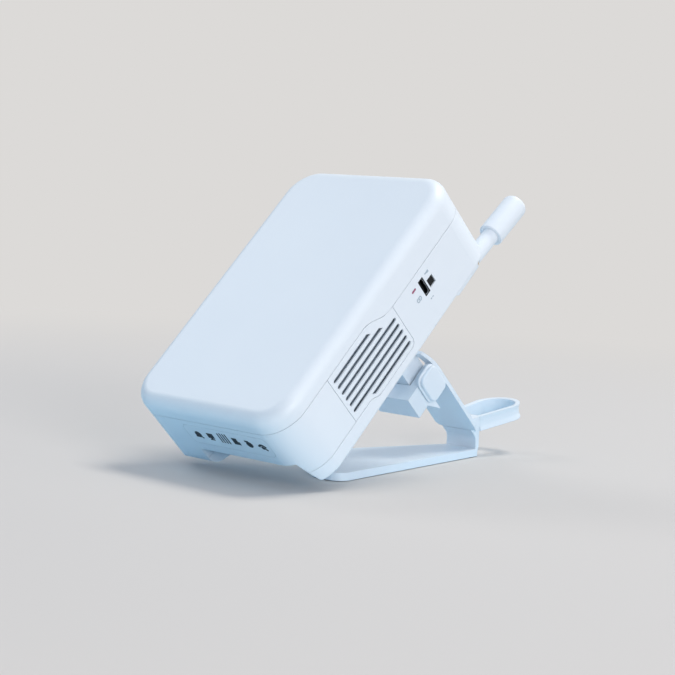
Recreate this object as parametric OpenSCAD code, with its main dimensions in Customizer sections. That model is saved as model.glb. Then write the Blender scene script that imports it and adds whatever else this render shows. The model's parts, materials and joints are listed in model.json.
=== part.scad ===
// Wireless range extender: a slab housing with a stub antenna, on a tilting desk stand
// The origin is on the table, straight under the tilt axis; +X is to the right, +Y to the back

/* [Housing] */
// Width of the housing
body_w = 108; // [100:1:124]
// Length of the housing
body_l = 166; // [160:1:190]
// Depth of the front cover ahead of the lower seam
front_depth = 10.6; // [9:0.1:13]
// Depth of the housing behind the lower seam
rear_depth = 38.6; // [37:0.1:44]
// Radius of the corners seen from the front
corner_r = 17.6; // [15:0.1:20]
// Radius of the front edge
front_edge_r = 6.5; // [4:0.1:7]
// Radius of the rear edge
rear_edge_r = 2; // [1:0.1:2.2]
// Radius of the foot, the lower rear edge
foot_r = 9.3; // [7:0.1:11]
// Wall thickness of the mouldings
wall = 2.4; // [1.8:0.1:2.8]
// Gap at a seam between two mouldings
seam_gap = 0.2; // [0.1:0.05:0.4]
// Depth of the front seam above the vents, where it steps back
upper_seam = 6.9; // [5:0.1:8]
// Depth of the seam between the lower band and the rear shell
rear_seam = 30; // [28:0.1:31]
// Reach of the cable relief in the lower rear edge, to the left of the middle
relief_left = 21; // [12:0.5:30]
// Reach of the relief to the right of the middle
relief_right = 44.5; // [30:0.5:45]
// Outward slant of the relief's right end, over the depth behind its front
relief_flare = 5.5; // [2:0.1:6]
// Height of the relief
relief_h = 13; // [11:0.1:13.5]
// Depth at which the relief starts
relief_v = 22.5; // [21:0.1:25]
// Radius of the relief's upper corners
relief_r = 8; // [4:0.1:8]

/* [Vents] */
// Height of a vent panel's lower edge above the housing's lower end
vent_low = 37; // [34:0.5:40]
// Height of a vent panel's upper edge
vent_high = 91.5; // [90:0.5:96]
// Height at which the front seam starts to step back
jog_low = 70; // [60:0.5:74]
// Height at which the step of the front seam ends
jog_high = 89; // [84:0.5:89.5]
// Depth of a vent panel's upper rear edge
vent_rear = 33; // [32:0.1:34]
// Height at which the vent panel's rear edge starts to step back
rear_jog_low = 50; // [46:0.5:54]
// Height at which the step of the rear edge ends
rear_jog_high = 58; // [56:0.5:62]
// Number of slots
slot_count = 7; // [5:1:7]
// Distance from one slot to the next
slot_pitch = 4.15; // [3.8:0.05:4.2]
// Width of a slot
slot_w = 1.7; // [1.2:0.1:2]
// Depth of the first slot behind the lower seam
slot_first = 4.5; // [3.8:0.1:4.8]
// Bar left between the slots' ends and the panel's edge
slot_margin = 3; // [2.5:0.1:4]
// Thickness of a vent panel's inner flange
flange_t = 1.2; // [0.8:0.1:1.6]
// Reach of the flange behind the neighbouring mouldings
flange_reach = 2; // [1.5:0.1:3]
// Thickness of the dust gauze
gauze_t = 0.6; // [0.4:0.1:1]

/* [Ports and lights] */
// Height of the port's middle above the housing's lower end
port_u = 114.1; // [110:0.1:118]
// Depth of the port's middle
port_v = 16.25; // [15:0.05:18]
// Long side of the port's mouth
port_long = 9.4; // [9.2:0.1:10]
// Short side of the port's mouth
port_short = 3.6; // [3.4:0.1:4]
// Height of the button's middle above the port's middle
button_up = 5.65; // [5.4:0.05:6.5]
// Depth of the button's middle behind the port's middle
button_back = 1.55; // [0:0.05:2]
// Side of the square button
button_side = 4.4; // [3.8:0.1:4.8]
// Gap round the button and round the port's shell
button_gap = 0.25; // [0.15:0.05:0.35]
// Travel of the button
button_travel = 0.6; // [0.4:0.1:0.8]
// Height of the light's middle below the port's middle
light_down = 6.7; // [6:0.1:8]
// Depth of the light's middle ahead of the port's middle
light_ahead = 3.75; // [3:0.05:5]
// Length of the light
light_long = 3.4; // [2.5:0.1:4]
// Width of the light
light_w = 1.1; // [0.8:0.1:1.4]
// Width of the indicator panel
panel_w = 59; // [56:0.5:60]
// Height of the indicator panel
panel_h = 13.5; // [12:0.5:14.5]
// Depth of the panel's middle
panel_v = 10.2; // [9.5:0.1:11]
// Distance of the panel's middle to the right of the housing's middle
panel_x = 8; // [5:0.5:8]
// Thickness of the indicator panel
panel_t = 0.8; // [0.6:0.1:1]
// Distance of the indicators' middle to the right of the panel's middle
lamp_shift = 1.25; // [0:0.05:2]
// Number of indicators
lamp_count = 6; // [4:1:6]
// Distance from one indicator to the next
lamp_pitch = 9.05; // [8:0.05:9.5]

/* [Inside] */
// Depth of the main board's front face
board_v = 4; // [3:0.1:5]
// Thickness of the boards
board_t = 1.6; // [1:0.1:2]
// Gap between the main board's sides and the walls
board_side = 6; // [5:0.5:8]
// Distance of the main board's ends from the housing's ends
board_end = 14; // [13:0.5:16]
// Radius of the screw posts
post_r = 4; // [3.6:0.1:4.4]
// Distance of the lower posts above the lower corners' centres
post_lift = 6; // [5:0.5:8]
// Shank radius of the screws
screw_r = 1.5; // [1.2:0.1:1.6]
// Head radius of the screws
head_r = 2.6; // [2.4:0.1:2.8]
// Head height of the screws
head_h = 1.8; // [1.5:0.1:2.2]
// Side of the processor
chip_side = 15; // [12:0.5:18]
// Height of the processor
chip_h = 1.4; // [1:0.1:2]
// Thickness of the thermal pad
pad_t = 1; // [0.5:0.1:1.5]
// Side of the heat sink
sink_side = 38; // [30:1:44]
// Height of the heat sink
sink_h = 10; // [8:0.5:12]
// Number of heat sink fins
fin_count = 8; // [5:1:10]
// Thickness of a fin
fin_t = 1.2; // [0.8:0.1:1.6]

/* [Antenna] */
// Distance of the antenna's axis to the right of the housing's middle
antenna_x = 40; // [36:0.5:42]
// Distance of the antenna's axis behind the housing's back
antenna_back = 6.4; // [6:0.1:8]
// Radius of the antenna's boss
boss_r = 5; // [4.9:0.1:6]
// Height of the boss
boss_l = 30; // [28:0.5:40]
// Distance of the boss's top below the housing's upper end
boss_drop = 8; // [6:0.5:14]
// Radius of the antenna's neck
neck_r = 4; // [3.9:0.1:4.6]
// Height at which the sleeve starts, above the housing's upper end
sleeve_up = 13.5; // [10:0.5:18]
// Length of the sleeve
sleeve_l = 27.5; // [24:0.5:60]
// Radius of the sleeve
sleeve_r = 5.85; // [5:0.05:7]
// Radius of the sleeve's tip edge
sleeve_tip = 3; // [1:0.1:4]
// Thread radius of the antenna socket
socket_r = 2.6; // [2.4:0.1:3]
// Radius of the antenna lead
lead_r = 0.9; // [0.7:0.1:1.1]

/* [Hinge] */
// Angle that the housing leans back from upright
lean = 44; // [40:1:48]
// Height of the tilt axis along the housing, from its lower end
axis_u = 112.6; // [104:0.1:118]
// Distance of the tilt axis behind the housing's back
axis_back = 54.6; // [48:0.1:58]
// Height of the housing's lowest edge above the table, measured to its sharp corner
body_clear = 0.5; // [0.2:0.1:3]
// Half thickness of the bracket's neck, and radius of its eye
eye_r = 7.3; // [6.5:0.1:7.6]
// Half width of the bracket's neck
eye_w = 8; // [7:0.1:9]
// Radius of the hinge bolt
bolt_r = 3; // [2.5:0.1:3.2]
// Running clearance round the bolt, and round the antenna's socket
run_gap = 0.06; // [0.03:0.01:0.09]
// Thickness of a friction washer
washer_t = 0.8; // [0.6:0.1:1.2]
// Side gap of a friction washer
washer_gap = 0.05; // [0.03:0.01:0.1]
// Thickness of a yoke cheek
cheek_t = 5.4; // [5:0.1:6]
// Distance of the yoke's front face ahead of the axis
yoke_front = 5.5; // [5:0.1:6.5]
// Distance of the yoke's rear face behind the axis
yoke_rear = 8.4; // [8:0.1:10]
// Distance of the yoke's lower face below the axis
yoke_low = 17.6; // [14:0.1:19]
// Gap under the bracket's neck at the yoke's stop
stop_gap = 0.25; // [0.15:0.05:0.4]
// Width and height of the bracket's flange
flange_side = 38; // [34:1:44]
// Thickness of the bracket's flange
bracket_t = 3; // [2.5:0.1:4]
// Distance between the bracket's screws
bracket_pitch = 28; // [26:0.5:30]
// Short side of the knob
knob_short = 14; // [12:0.5:16]
// Long side of the knob
knob_long = 17; // [15:0.5:19]
// Thickness of the knob's cap
knob_cap = 2.4; // [2:0.1:4]
// Thickness of the knob's step
knob_step = 1.2; // [0.8:0.1:2]
// Step of the knob's outline
knob_ledge = 0.9; // [0.5:0.1:1.2]
// Corner radius of the knob
knob_r = 4.5; // [3:0.1:5]

/* [Stand] */
// Thickness of the arm's strap
strap_t = 2.4; // [2:0.1:3]
// Gap between the bracket's eye and the strap
strap_gap = 1.6; // [1.2:0.1:2.5]
// Reach of the strap's tines ahead of the axis
tine_reach = 17; // [14:0.5:20]
// Drop of the tines' tips
tine_drop = 4; // [2:0.1:4.5]
// Distance of the upright's front face behind the axis
upright_back = 46.7; // [42:0.1:52]
// Half width of the upright
upright_w = 10.3; // [9:0.1:11]
// Inner radius of the bend between upright and strap
bend_r = 5; // [3:0.1:7]
// Distance of the strap's shoulders from the tilt axis, along the strap
shoulder_at = 50; // [44:0.1:52]
// Radius of the shoulders
shoulder_r = 3.6; // [2:0.1:3.8]
// Height of the base plate's top above the table
base_top = 4.5; // [4:0.1:6]
// Reach of the base plate ahead of the axis
base_front = 89; // [86:0.5:100]
// Half width of the base plate at its front end
base_front_w = 35.3; // [30:0.1:40]
// Radius of the base plate's front corners
base_front_r = 7; // [5.5:0.1:8]
// Radius of the round cut in the base plate's front edge
base_cut_r = 20; // [14:0.5:21]
// Radius of the base plate's rear corners
base_rear_r = 1.5; // [1:0.1:3]
// Height of the base plate's underside above the table
sole_proud = 0.4; // [0.2:0.1:0.8]
// Thickness of the sole
sole_t = 1.2; // [1:0.1:1.6]
// Distance of the sole's edge inside the base plate's edge
sole_inset = 3; // [2:0.1:5]
// Inner radius of the loop's round end
loop_r = 9.3; // [7:0.1:10]
// Wall of the loop
loop_wall = 2.3; // [1.8:0.1:3]
// Height of the loop's band
loop_h = 8.5; // [7:0.1:10]
// Distance of the loop's round end's centre behind the upright's rear face
loop_back = 27.5; // [20:0.1:36]
// Height of the loop's upper rim at that centre, above the table
loop_top = 27.1; // [25:0.1:29]
// Upward slope of the loop towards the back
loop_tilt = 11; // [6:0.5:14]
// Height of each rim of the loop
rim_h = 2; // [1.5:0.1:2.5]
// Overhang of the rims
rim_out = 0.7; // [0.4:0.1:1]

/* [Hidden] */
$fn = 64;

// Colours
shell_white = "#e4edf6";
shade_white = "#d3e0ec";
gauze_grey = "#7f8b97";
trim_black = "#15181c";
board_green = "#1f5c3f";
metal_grey = "#b9bec4";
brass = "#c9a24a";
rubber_grey = "#4a4f55";

// Small over-cut and the smallest inner edge radius
cut = 1;
least_r = 0.4;
// Smallest land left round a hole
land = 1.2;

// Where the tilt axis lies
axis_v = rear_depth + axis_back;
axis_h = axis_u * cos(lean) - axis_back * sin(lean) + body_clear;

half_w = body_w / 2;
corner_x = half_w - corner_r;
front_v = -front_depth;
inner_front = front_v + wall;
inner_rear = rear_depth - wall;
g = seam_gap / 2;

// Screw posts, as width and length
posts = [for (s = [-1, 1]) for (u = [corner_r + post_lift, body_l - corner_r]) [s * corner_x, u]];
board_back = board_v + board_t;
post_floor = board_back + 6;
bracket_screws_at = [for (s = [-1, 1]) for (t = [-1, 1])
  [s * bracket_pitch / 2, axis_u + t * bracket_pitch / 2]];
bracket_boss_l = 7;

// The port, the button and the light, as depth and length
port_at = [port_v, port_u];
button_at = [port_v + button_back, port_u + button_up];
light_at = [port_v - light_ahead, port_u - light_down];
port_board_x = half_w - wall - 8;
switch_side = button_side + 1.4;
button_face = half_w - 0.4;
button_flange = 1;
button_seat = half_w - wall - washer_gap - button_flange;
switch_top = button_seat - button_travel - washer_gap;

// The indicators
lamp_at = [for (k = [0 : lamp_count - 1]) panel_x + lamp_shift + (k - (lamp_count - 1) / 2) * lamp_pitch];
guide_end = board_end + 3;
lamp_h = 2;

// The antenna, as depth and length
antenna_v = rear_depth + antenna_back;
boss_top = body_l - boss_drop;
boss_low = boss_top - boss_l;
nut_h = 2;
neck_low = boss_top + nut_h + 0.4;
sleeve_low = body_l + sleeve_up;
socket_low = boss_top - 12;
socket_top = neck_low + 6;
lead_u = boss_low + 10;
lead_bend = 3;
plug_r = 1.6;
plug_h = 2.6;

// The yoke
cheek_in = eye_w + washer_t + 2 * washer_gap;
yoke_w = cheek_in + cheek_t;
strap_in = eye_r + strap_gap;
strap_out = strap_in + strap_t;
nut_side = 10;
nut_t = 4;
bolt_end = yoke_w + knob_step + knob_cap - 1;
knob_seat = yoke_w + 0.4;
tab_reach = 9;

upright_rear = upright_back + strap_t;
tenon_low = sole_proud + sole_t + 0.6;
tenon_w = upright_w - 2;
tenon_gap = 0.05;
base_rear_w = upright_w;

// Drawn in depth and length, and carried across the housing
module across(x0, x1) {
  translate([x0, 0, 0]) rotate([90, 0, 90]) linear_extrude(x1 - x0) children();
}

// Drawn in width and length, and carried through the depth
module through(v0, v1) {
  translate([0, v1, 0]) rotate([90, 0, 0]) linear_extrude(v1 - v0) children();
}

// A round bar through the depth, at a width and length
module peg(at, r, v0, v1) {
  translate([at[0], v0, at[1]]) rotate([-90, 0, 0]) cylinder(r = r, h = v1 - v0);
}

// A round bar across, on the axis
module rod(r, x0, x1) {
  translate([x0, 0, 0]) rotate([0, 90, 0]) cylinder(r = r, h = x1 - x0);
}

// A rectangle with round corners, about its middle
module rounded(w, h, r) {
  square([w - 2 * r, h], center = true);
  square([w, h - 2 * r], center = true);
  for (x = [-1, 1]) for (y = [-1, 1]) translate([x * (w / 2 - r), y * (h / 2 - r)]) circle(r);
}

// Housing frame: x across, y the depth behind the lower seam, z the length from the lower end
module in_housing() {
  translate([0, 0, axis_h]) rotate([-lean, 0, 0]) translate([0, -axis_v, -axis_u]) children();
}

// Yoke frame: y along the housing's depth and z along its length, from the tilt axis
module in_yoke() {
  translate([0, 0, axis_h]) rotate([-lean, 0, 0]) children();
}

// Cross-section of the housing's rim, from a corner's centre outwards, drawn in by i
module rim_profile(i) {
  r = corner_r - i;
  f = max(front_edge_r - i, least_r);
  b = max(rear_edge_r - i, least_r);
  low = front_v + i;
  high = rear_depth - i;
  translate([0, low + f]) square([r, high - low - f - b]);
  translate([0, low]) square([r - f, f]);
  translate([0, high - b]) square([r - b, b]);
  translate([r - f, low + f]) intersection() {
    circle(f);
    translate([0, -f]) square(f);
  }
  translate([r - b, high - b]) intersection() {
    circle(b);
    square(b);
  }
}

// What the round foot leaves out of the lower rear edge, drawn in depth and length
module foot_cut(i) {
  difference() {
    translate([rear_depth - foot_r, -cut]) square(foot_r + cut);
    translate([rear_depth - foot_r, foot_r]) circle(foot_r - i);
  }
}

module housing_solid(i) {
  difference() {
    slab(i);
    across(-half_w - cut, half_w + cut) foot_cut(i);
  }
}

// The housing's outer form drawn in by i: a middle block, four edge strips and four round corners
module slab(i) {
  z0 = corner_r;
  z1 = body_l - corner_r;
  translate([-corner_x, front_v + i, z0]) cube([2 * corner_x, rear_depth - front_v - 2 * i, z1 - z0]);
  for (s = [0, 1]) mirror([s, 0, 0]) translate([corner_x, 0, z0]) linear_extrude(z1 - z0) rim_profile(i);
  translate([0, 0, z1]) across(-corner_x, corner_x) mirror([1, -1]) rim_profile(i);
  translate([0, 0, z0]) mirror([0, 0, 1]) across(-corner_x, corner_x) mirror([1, -1]) rim_profile(i);
  for (k = [[corner_x, z0, 0], [-corner_x, z0, 90], [-corner_x, z1, 180], [corner_x, z1, 270]])
    translate([k[0], 0, k[1]]) rotate([-90, 0, 0]) rotate([0, 0, k[2]]) rotate_extrude(angle = 90)
      rim_profile(i);
}

// The arched relief in the lower rear edge, grown by e
module relief(e) {
  x0 = -relief_left - e;
  x1 = relief_right + e;
  x2 = x1 + relief_flare;
  r = relief_r + e;
  top = relief_h + e;
  back = rear_depth + cut;
  intersection() {
    through(relief_v - e, back) {
      translate([x0, -cut]) square([x2 - x0, top - r + cut]);
      translate([x0 + r, -cut]) square([x2 - x0 - 2 * r, top + cut]);
      for (x = [x0 + r, x2 - r]) translate([x, top - r]) circle(r);
    }
    translate([0, 0, -2 * cut]) linear_extrude(top + 4 * cut)
      polygon([[x0 - cut, relief_v - e - cut], [x1, relief_v - e - cut], [x1, relief_v - e],
        [x2, back + cut], [x0 - cut, back + cut]]);
  }
}

// Walls of the whole housing
module housing_walls() {
  difference() {
    housing_solid(0);
    relief(0);
    difference() {
      housing_solid(wall);
      relief(wall);
    }
  }
}

// A smooth step from a to b as t goes from 0 to 1
function ease(a, b, t) = a + (b - a) * t * t * (3 - 2 * t);
steps = 8;
function front_seam(d) = [for (k = [0 : steps])
  [ease(0, upper_seam, k / steps) + d, jog_low + (jog_high - jog_low) * k / steps]];
function vent_seam(d) = [for (k = [0 : steps])
  [ease(vent_rear, rear_seam, k / steps) - d,
    rear_jog_high + (rear_jog_low - rear_jog_high) * k / steps]];

// Regions of the side view, drawn in depth and length
module front_region(d) {
  polygon(concat([[front_v - cut, -cut], [-d, -cut]], front_seam(-d),
    [[upper_seam - d, body_l + cut], [front_v - cut, body_l + cut]]));
}

module band_region(d) {
  translate([d, -cut]) square([rear_seam - 2 * d, vent_low - d + cut]);
}

module vent_region(d) {
  soft = 3;
  polygon(concat([[rear_seam - d, vent_low + d], [d, vent_low + d]], front_seam(d),
    [[upper_seam + d, vent_high - d], [vent_rear - d - soft, vent_high - d],
      [vent_rear - d - soft * 0.3, vent_high - d - soft * 0.3], [vent_rear - d, vent_high - d - soft]],
    vent_seam(d)));
}

module rear_region(d) {
  difference() {
    translate([-cut, -2 * cut]) square([rear_depth + 2 * cut, body_l + 4 * cut]);
    translate([0, -2 * cut]) front_region(-d);
    translate([-2 * cut, 0]) front_region(-d);
    front_region(-d);
    translate([0, -2 * cut]) band_region(-d);
    band_region(-d);
    vent_region(-d);
  }
}

module front_cover() {
  color(shell_white) in_housing() difference() {
    union() {
      intersection() {
        housing_walls();
        across(-half_w - cut, half_w + cut) front_region(g);
      }
      for (p = posts) peg(p, post_r, inner_front - wall / 2, board_v);
    }
    for (p = posts) peg(p, screw_r + run_gap, inner_front + wall, board_v + cut);
  }
}

module lower_band() {
  color(shell_white) in_housing() difference() {
    union() {
      intersection() {
        housing_walls();
        across(-half_w - cut, half_w + cut) band_region(g);
      }
      intersection() {
        band_lip();
        across(-half_w - cut, half_w + cut) translate([-flange_reach, -cut])
          square([rear_seam + 2 * flange_reach, vent_low - flange_reach - 2 * seam_gap + cut]);
      }
    }
    translate([panel_x, panel_v, -cut]) linear_extrude(panel_t + cut)
      rounded(panel_w + seam_gap, panel_h + seam_gap, panel_h / 4);
    for (x = lamp_at) translate([x, panel_v, 0]) cylinder(d = lamp_window(), h = wall + flange_t + cut);
  }
}

// Lining of the housing's walls, kept on the lower band so that it reaches behind its neighbours
module band_lip() {
  difference() {
    housing_solid(wall);
    relief(wall);
    difference() {
      housing_solid(wall + flange_t);
      relief(wall + flange_t);
    }
  }
}

// Width of the window behind each indicator
function lamp_window() = lamp_pitch * 0.55;

module rear_shell() {
  color(shell_white) in_housing() difference() {
    union() {
      intersection() {
        housing_walls();
        across(-half_w - cut, half_w + cut) rear_region(g);
      }
      for (p = posts) peg(p, post_r, board_back, inner_rear + wall / 2);
      for (p = bracket_screws_at) peg(p, post_r, inner_rear - bracket_boss_l, inner_rear + wall / 2);
      antenna_boss();
    }
    for (p = posts) {
      peg(p, screw_r + run_gap, board_back - cut, rear_depth + cut);
      peg(p, head_r + button_gap, post_floor, rear_depth + cut);
    }
    for (p = bracket_screws_at)
      peg(p, screw_r + run_gap, inner_rear - bracket_boss_l - cut, rear_depth + cut);
    port_mouth(half_w - wall - cut, half_w + cut);
    button_mouth(half_w - wall - cut, half_w + cut);
    light_bar(half_w - wall - cut, half_w + cut, seam_gap / 4);
    translate([antenna_x, antenna_v, socket_low])
      cylinder(r = socket_r + run_gap, h = boss_top - socket_low + cut);
    translate([antenna_x, antenna_v, lead_u - 2 * lead_r])
      cylinder(r = 2 * lead_r, h = socket_low - lead_u + 2 * lead_r);
    peg([antenna_x, lead_u], 2 * lead_r, inner_rear - cut, antenna_v);
  }
}

// Boss on the back that holds the antenna's socket, ramped at its lower end
module antenna_boss() {
  difference() {
    translate([antenna_x, 0, boss_low]) linear_extrude(boss_l) {
      translate([-boss_r, rear_depth - wall / 2]) square([2 * boss_r, antenna_back + wall / 2]);
      translate([0, antenna_v]) circle(boss_r);
    }
    across(antenna_x - boss_r - cut, antenna_x + boss_r + cut)
      polygon([[rear_depth, boss_low - cut], [antenna_v + boss_r + cut, boss_low - cut],
        [antenna_v + boss_r + cut, boss_low + antenna_back + boss_r + cut], [rear_depth, boss_low]]);
  }
}

module port_mouth(x0, x1) {
  across(x0, x1) translate(port_at) rounded(port_long, port_short, port_short / 2.2);
}

module button_mouth(x0, x1) {
  across(x0, x1) translate(button_at)
    square(button_side + 2 * button_gap, center = true);
}

module light_bar(x0, x1, d) {
  across(x0, x1) translate(light_at)
    rounded(light_w + 2 * d, light_long + 2 * d, (light_w + 2 * d) / 2.2);
}

// Slot k of a vent panel, with ends cut on the slant where the panel's edge steps
function slot_v(k) = slot_first + k * slot_pitch;
function front_limit(v) = v < upper_seam + slot_margin
  ? jog_low + (jog_high - jog_low) * (v - slot_margin * 0.6) / (upper_seam + slot_margin) - slot_margin
  : vent_high - slot_margin;
function rear_limit(v) = v > rear_seam - slot_margin
  ? rear_jog_low + slot_margin * 1.6
  : vent_low + slot_margin;

module slot(k) {
  v = slot_v(k);
  low = rear_limit(v + slot_w / 2);
  high = min(front_limit(v), vent_high - slot_margin);
  slant = v < upper_seam + slot_margin ? slot_w * 0.8 : 0;
  rise = v > rear_seam - slot_margin ? slot_w * 0.8 : 0;
  polygon([[v - slot_w / 2, low - rise / 2], [v + slot_w / 2, low + rise / 2],
    [v + slot_w / 2, high + slant / 2], [v - slot_w / 2, high - slant / 2]]);
  translate([v, low]) circle(d = slot_w);
  translate([v, high]) circle(d = slot_w);
}

module vent_panel() {
  across(half_w - wall, half_w) difference() {
    vent_region(g);
    for (k = [0 : slot_count - 1]) slot(k);
  }
  across(half_w - wall - flange_t, half_w - wall) difference() {
    vent_region(-flange_reach);
    vent_region(slot_margin * 0.7);
  }
}

module vent_gauze() {
  across(half_w - wall - gauze_t, half_w - wall) vent_region(slot_margin * 0.7 + seam_gap);
}

module right_vent_panel() {
  color(shell_white) in_housing() vent_panel();
}

module left_vent_panel() {
  color(shell_white) in_housing() mirror([1, 0, 0]) vent_panel();
}

module right_vent_gauze() {
  color(gauze_grey) in_housing() vent_gauze();
}

module left_vent_gauze() {
  color(gauze_grey) in_housing() mirror([1, 0, 0]) vent_gauze();
}

module indicator_panel() {
  color(shade_white) in_housing() translate([panel_x, panel_v, 0]) linear_extrude(panel_t)
    rounded(panel_w, panel_h, panel_h / 4);
}

// One clear bar with a pip behind each indicator
module light_guide() {
  bar_low = wall + 3;
  color(metal_grey) in_housing() {
    for (x = lamp_at) translate([x, panel_v, panel_t])
      cylinder(d = lamp_window() - seam_gap, h = bar_low - panel_t);
    translate([lamp_at[0] - lamp_window() / 2, board_back, bar_low])
      cube([lamp_at[lamp_count - 1] - lamp_at[0] + lamp_window(), panel_v + lamp_window() / 2 - board_back,
        guide_end - bar_low]);
  }
}

module indicator_leds() {
  color(trim_black) in_housing() for (x = lamp_at)
    translate([x - lamp_h / 2, board_back, guide_end]) cube([lamp_h, lamp_h, lamp_h]);
}

module main_board() {
  side = half_w - wall - board_side;
  color(board_green) in_housing() difference() {
    translate([0, 0, body_l / 2]) through(board_v, board_back)
      rounded(2 * side, body_l - 2 * board_end, corner_r / 3);
    for (p = posts) peg(p, screw_r + button_gap, board_v - cut, board_back + cut);
  }
}

// The processor, its pad and its heat sink stand on the board's rear face
module on_board(w, h, at, v0, v1) {
  translate([at[0], 0, at[1]]) through(v0, v1) square([w, h], center = true);
}

chip_at = [-8, body_l / 2 - 8];
chip_top = board_back + chip_h;
sink_low = chip_top + pad_t;
sink_base = 2;

module processor() {
  color(trim_black) in_housing() on_board(chip_side, chip_side, chip_at, board_back, chip_top);
}

module thermal_pad() {
  color(gauze_grey) in_housing() on_board(chip_side, chip_side, chip_at, chip_top, sink_low);
}

module heat_sink() {
  pitch = (sink_side - fin_t) / (fin_count - 1);
  color(metal_grey) in_housing() {
    on_board(sink_side, sink_side, chip_at, sink_low, sink_low + sink_base);
    for (k = [0 : fin_count - 1])
      on_board(fin_t, sink_side, [chip_at[0] - sink_side / 2 + fin_t / 2 + k * pitch, chip_at[1]],
        sink_low + sink_base, sink_low + sink_h);
  }
}

// Two cans, as width and height and their distance above or below the processor
module shield_cans() {
  can_h = 3.2;
  color(metal_grey) in_housing() for (c = [[30, 24, -38], [34, 26, 44]])
    translate([chip_at[0], 0, chip_at[1] + c[2]]) through(board_back, board_back + can_h)
      rounded(c[0], c[1], 1.5);
}

// Small board behind the port and the button, standing on the main board
module port_board() {
  color(board_green) in_housing() across(port_board_x - board_t, port_board_x)
    translate([board_back, light_at[1] - 4])
      square([button_at[0] + switch_side / 2 + 2 - board_back,
        button_at[1] + switch_side / 2 + 2 - light_at[1] + 4]);
}

module usb_port() {
  shell_t = 0.4;
  long = port_long - 2 * button_gap;
  short = port_short - 2 * button_gap;
  mouth = half_w - 0.6;
  color(metal_grey) in_housing() {
    difference() {
      across(port_board_x, mouth) translate(port_at) rounded(long, short, short / 2.2);
      across(port_board_x + 2, mouth + cut) translate(port_at)
        rounded(long - 2 * shell_t, short - 2 * shell_t, short / 2.2 - shell_t);
    }
    across(port_board_x + 2, mouth - 1) translate(port_at) square([long * 0.72, 0.7], center = true);
  }
}

module button_switch() {
  color(trim_black) in_housing() {
    across(port_board_x, switch_top) translate(button_at) square(switch_side, center = true);
  }
}

module status_light() {
  color("#d8667a") in_housing() light_bar(port_board_x, half_w, 0);
}

// Square cap with a flange behind the wall that keeps it in
module mode_button() {
  color(trim_black) in_housing() {
    across(button_seat + button_flange, button_face) translate(button_at)
      square(button_side, center = true);
    across(button_seat, button_seat + button_flange) translate(button_at)
      square(button_side + 2 * button_gap + land, center = true);
  }
}

module antenna_socket() {
  color(brass) in_housing() translate([antenna_x, antenna_v, socket_low])
    cylinder(r = socket_r, h = socket_top - socket_low);
}

module antenna_nut() {
  color(brass) in_housing() translate([antenna_x, antenna_v, boss_top]) difference() {
    cylinder(r = boss_r - 0.4, h = nut_h, $fn = 6);
    translate([0, 0, -cut]) cylinder(r = socket_r + run_gap, h = nut_h + 2 * cut);
  }
}

// Coaxial lead from the socket through the back wall to a plug on the main board
module antenna_lead() {
  color(trim_black) in_housing() {
    translate([antenna_x, antenna_v, lead_u + lead_bend])
      cylinder(r = lead_r, h = socket_low - lead_u - lead_bend);
    translate([antenna_x, antenna_v - lead_bend, lead_u + lead_bend]) rotate([0, 90, 0])
      rotate_extrude(angle = 90) translate([lead_bend, 0]) circle(lead_r);
    peg([antenna_x, lead_u], lead_r, board_back + plug_h, antenna_v - lead_bend);
    peg([antenna_x, lead_u], plug_r, board_back, board_back + plug_h);
  }
}

module antenna_neck() {
  color(shell_white) in_housing() translate([antenna_x, antenna_v, 0]) difference() {
    union() {
      translate([0, 0, neck_low]) cylinder(r = neck_r, h = sleeve_low - neck_low);
      translate([0, 0, sleeve_low]) cylinder(r = neck_r - land, h = sleeve_l / 3);
    }
    translate([0, 0, neck_low - cut])
      cylinder(r = socket_r + run_gap, h = socket_top - neck_low + cut + run_gap);
  }
}

module antenna_sleeve() {
  color(shell_white) in_housing() translate([antenna_x, antenna_v, sleeve_low])
  rotate_extrude() difference() {
    union() {
      square([sleeve_r, sleeve_l - sleeve_tip]);
      square([sleeve_r - sleeve_tip, sleeve_l]);
      translate([sleeve_r - sleeve_tip, sleeve_l - sleeve_tip]) intersection() {
        circle(sleeve_tip);
        square(sleeve_tip);
      }
    }
    translate([0, -cut]) square([neck_r - land + run_gap, sleeve_l / 3 + cut + run_gap]);
  }
}

module screw(at, tip, seat) {
  peg(at, screw_r, tip, seat);
  peg(at, head_r, seat, seat + head_h);
}

module housing_screws() {
  color(metal_grey) in_housing() for (p = posts) screw(p, inner_front + wall + 1, post_floor);
}

// Flange on the back, with a long neck that ends in the tilt eye
module hinge_bracket() {
  flange_v = rear_depth + bracket_t;
  color(shell_white) in_housing() difference() {
    union() {
      translate([0, 0, axis_u]) through(rear_depth, flange_v) rounded(flange_side, flange_side, 4);
      across(-eye_w, eye_w) {
        translate([flange_v, axis_u - eye_r]) square([axis_v - flange_v, 2 * eye_r]);
        translate([axis_v, axis_u]) circle(eye_r);
      }
    }
    translate([0, axis_v, axis_u]) rod(bolt_r + run_gap, -eye_w - cut, eye_w + cut);
    for (p = bracket_screws_at) peg(p, screw_r + run_gap, rear_depth - cut, flange_v + cut);
  }
}

module bracket_screws() {
  color(metal_grey) in_housing() for (p = bracket_screws_at)
    screw(p, inner_rear - bracket_boss_l + 1, rear_depth + bracket_t);
}

module friction_washers() {
  color(gauze_grey) in_yoke() for (s = [0, 1]) mirror([s, 0, 0]) difference() {
    rod(yoke_front - 0.3, eye_w + 2 * washer_gap, cheek_in);
    rod(bolt_r + run_gap, eye_w - cut, cheek_in + cut);
  }
}

module hinge_bolt() {
  color(metal_grey) in_yoke() rod(bolt_r, -yoke_w - 1, knob_seat);
}

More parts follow.
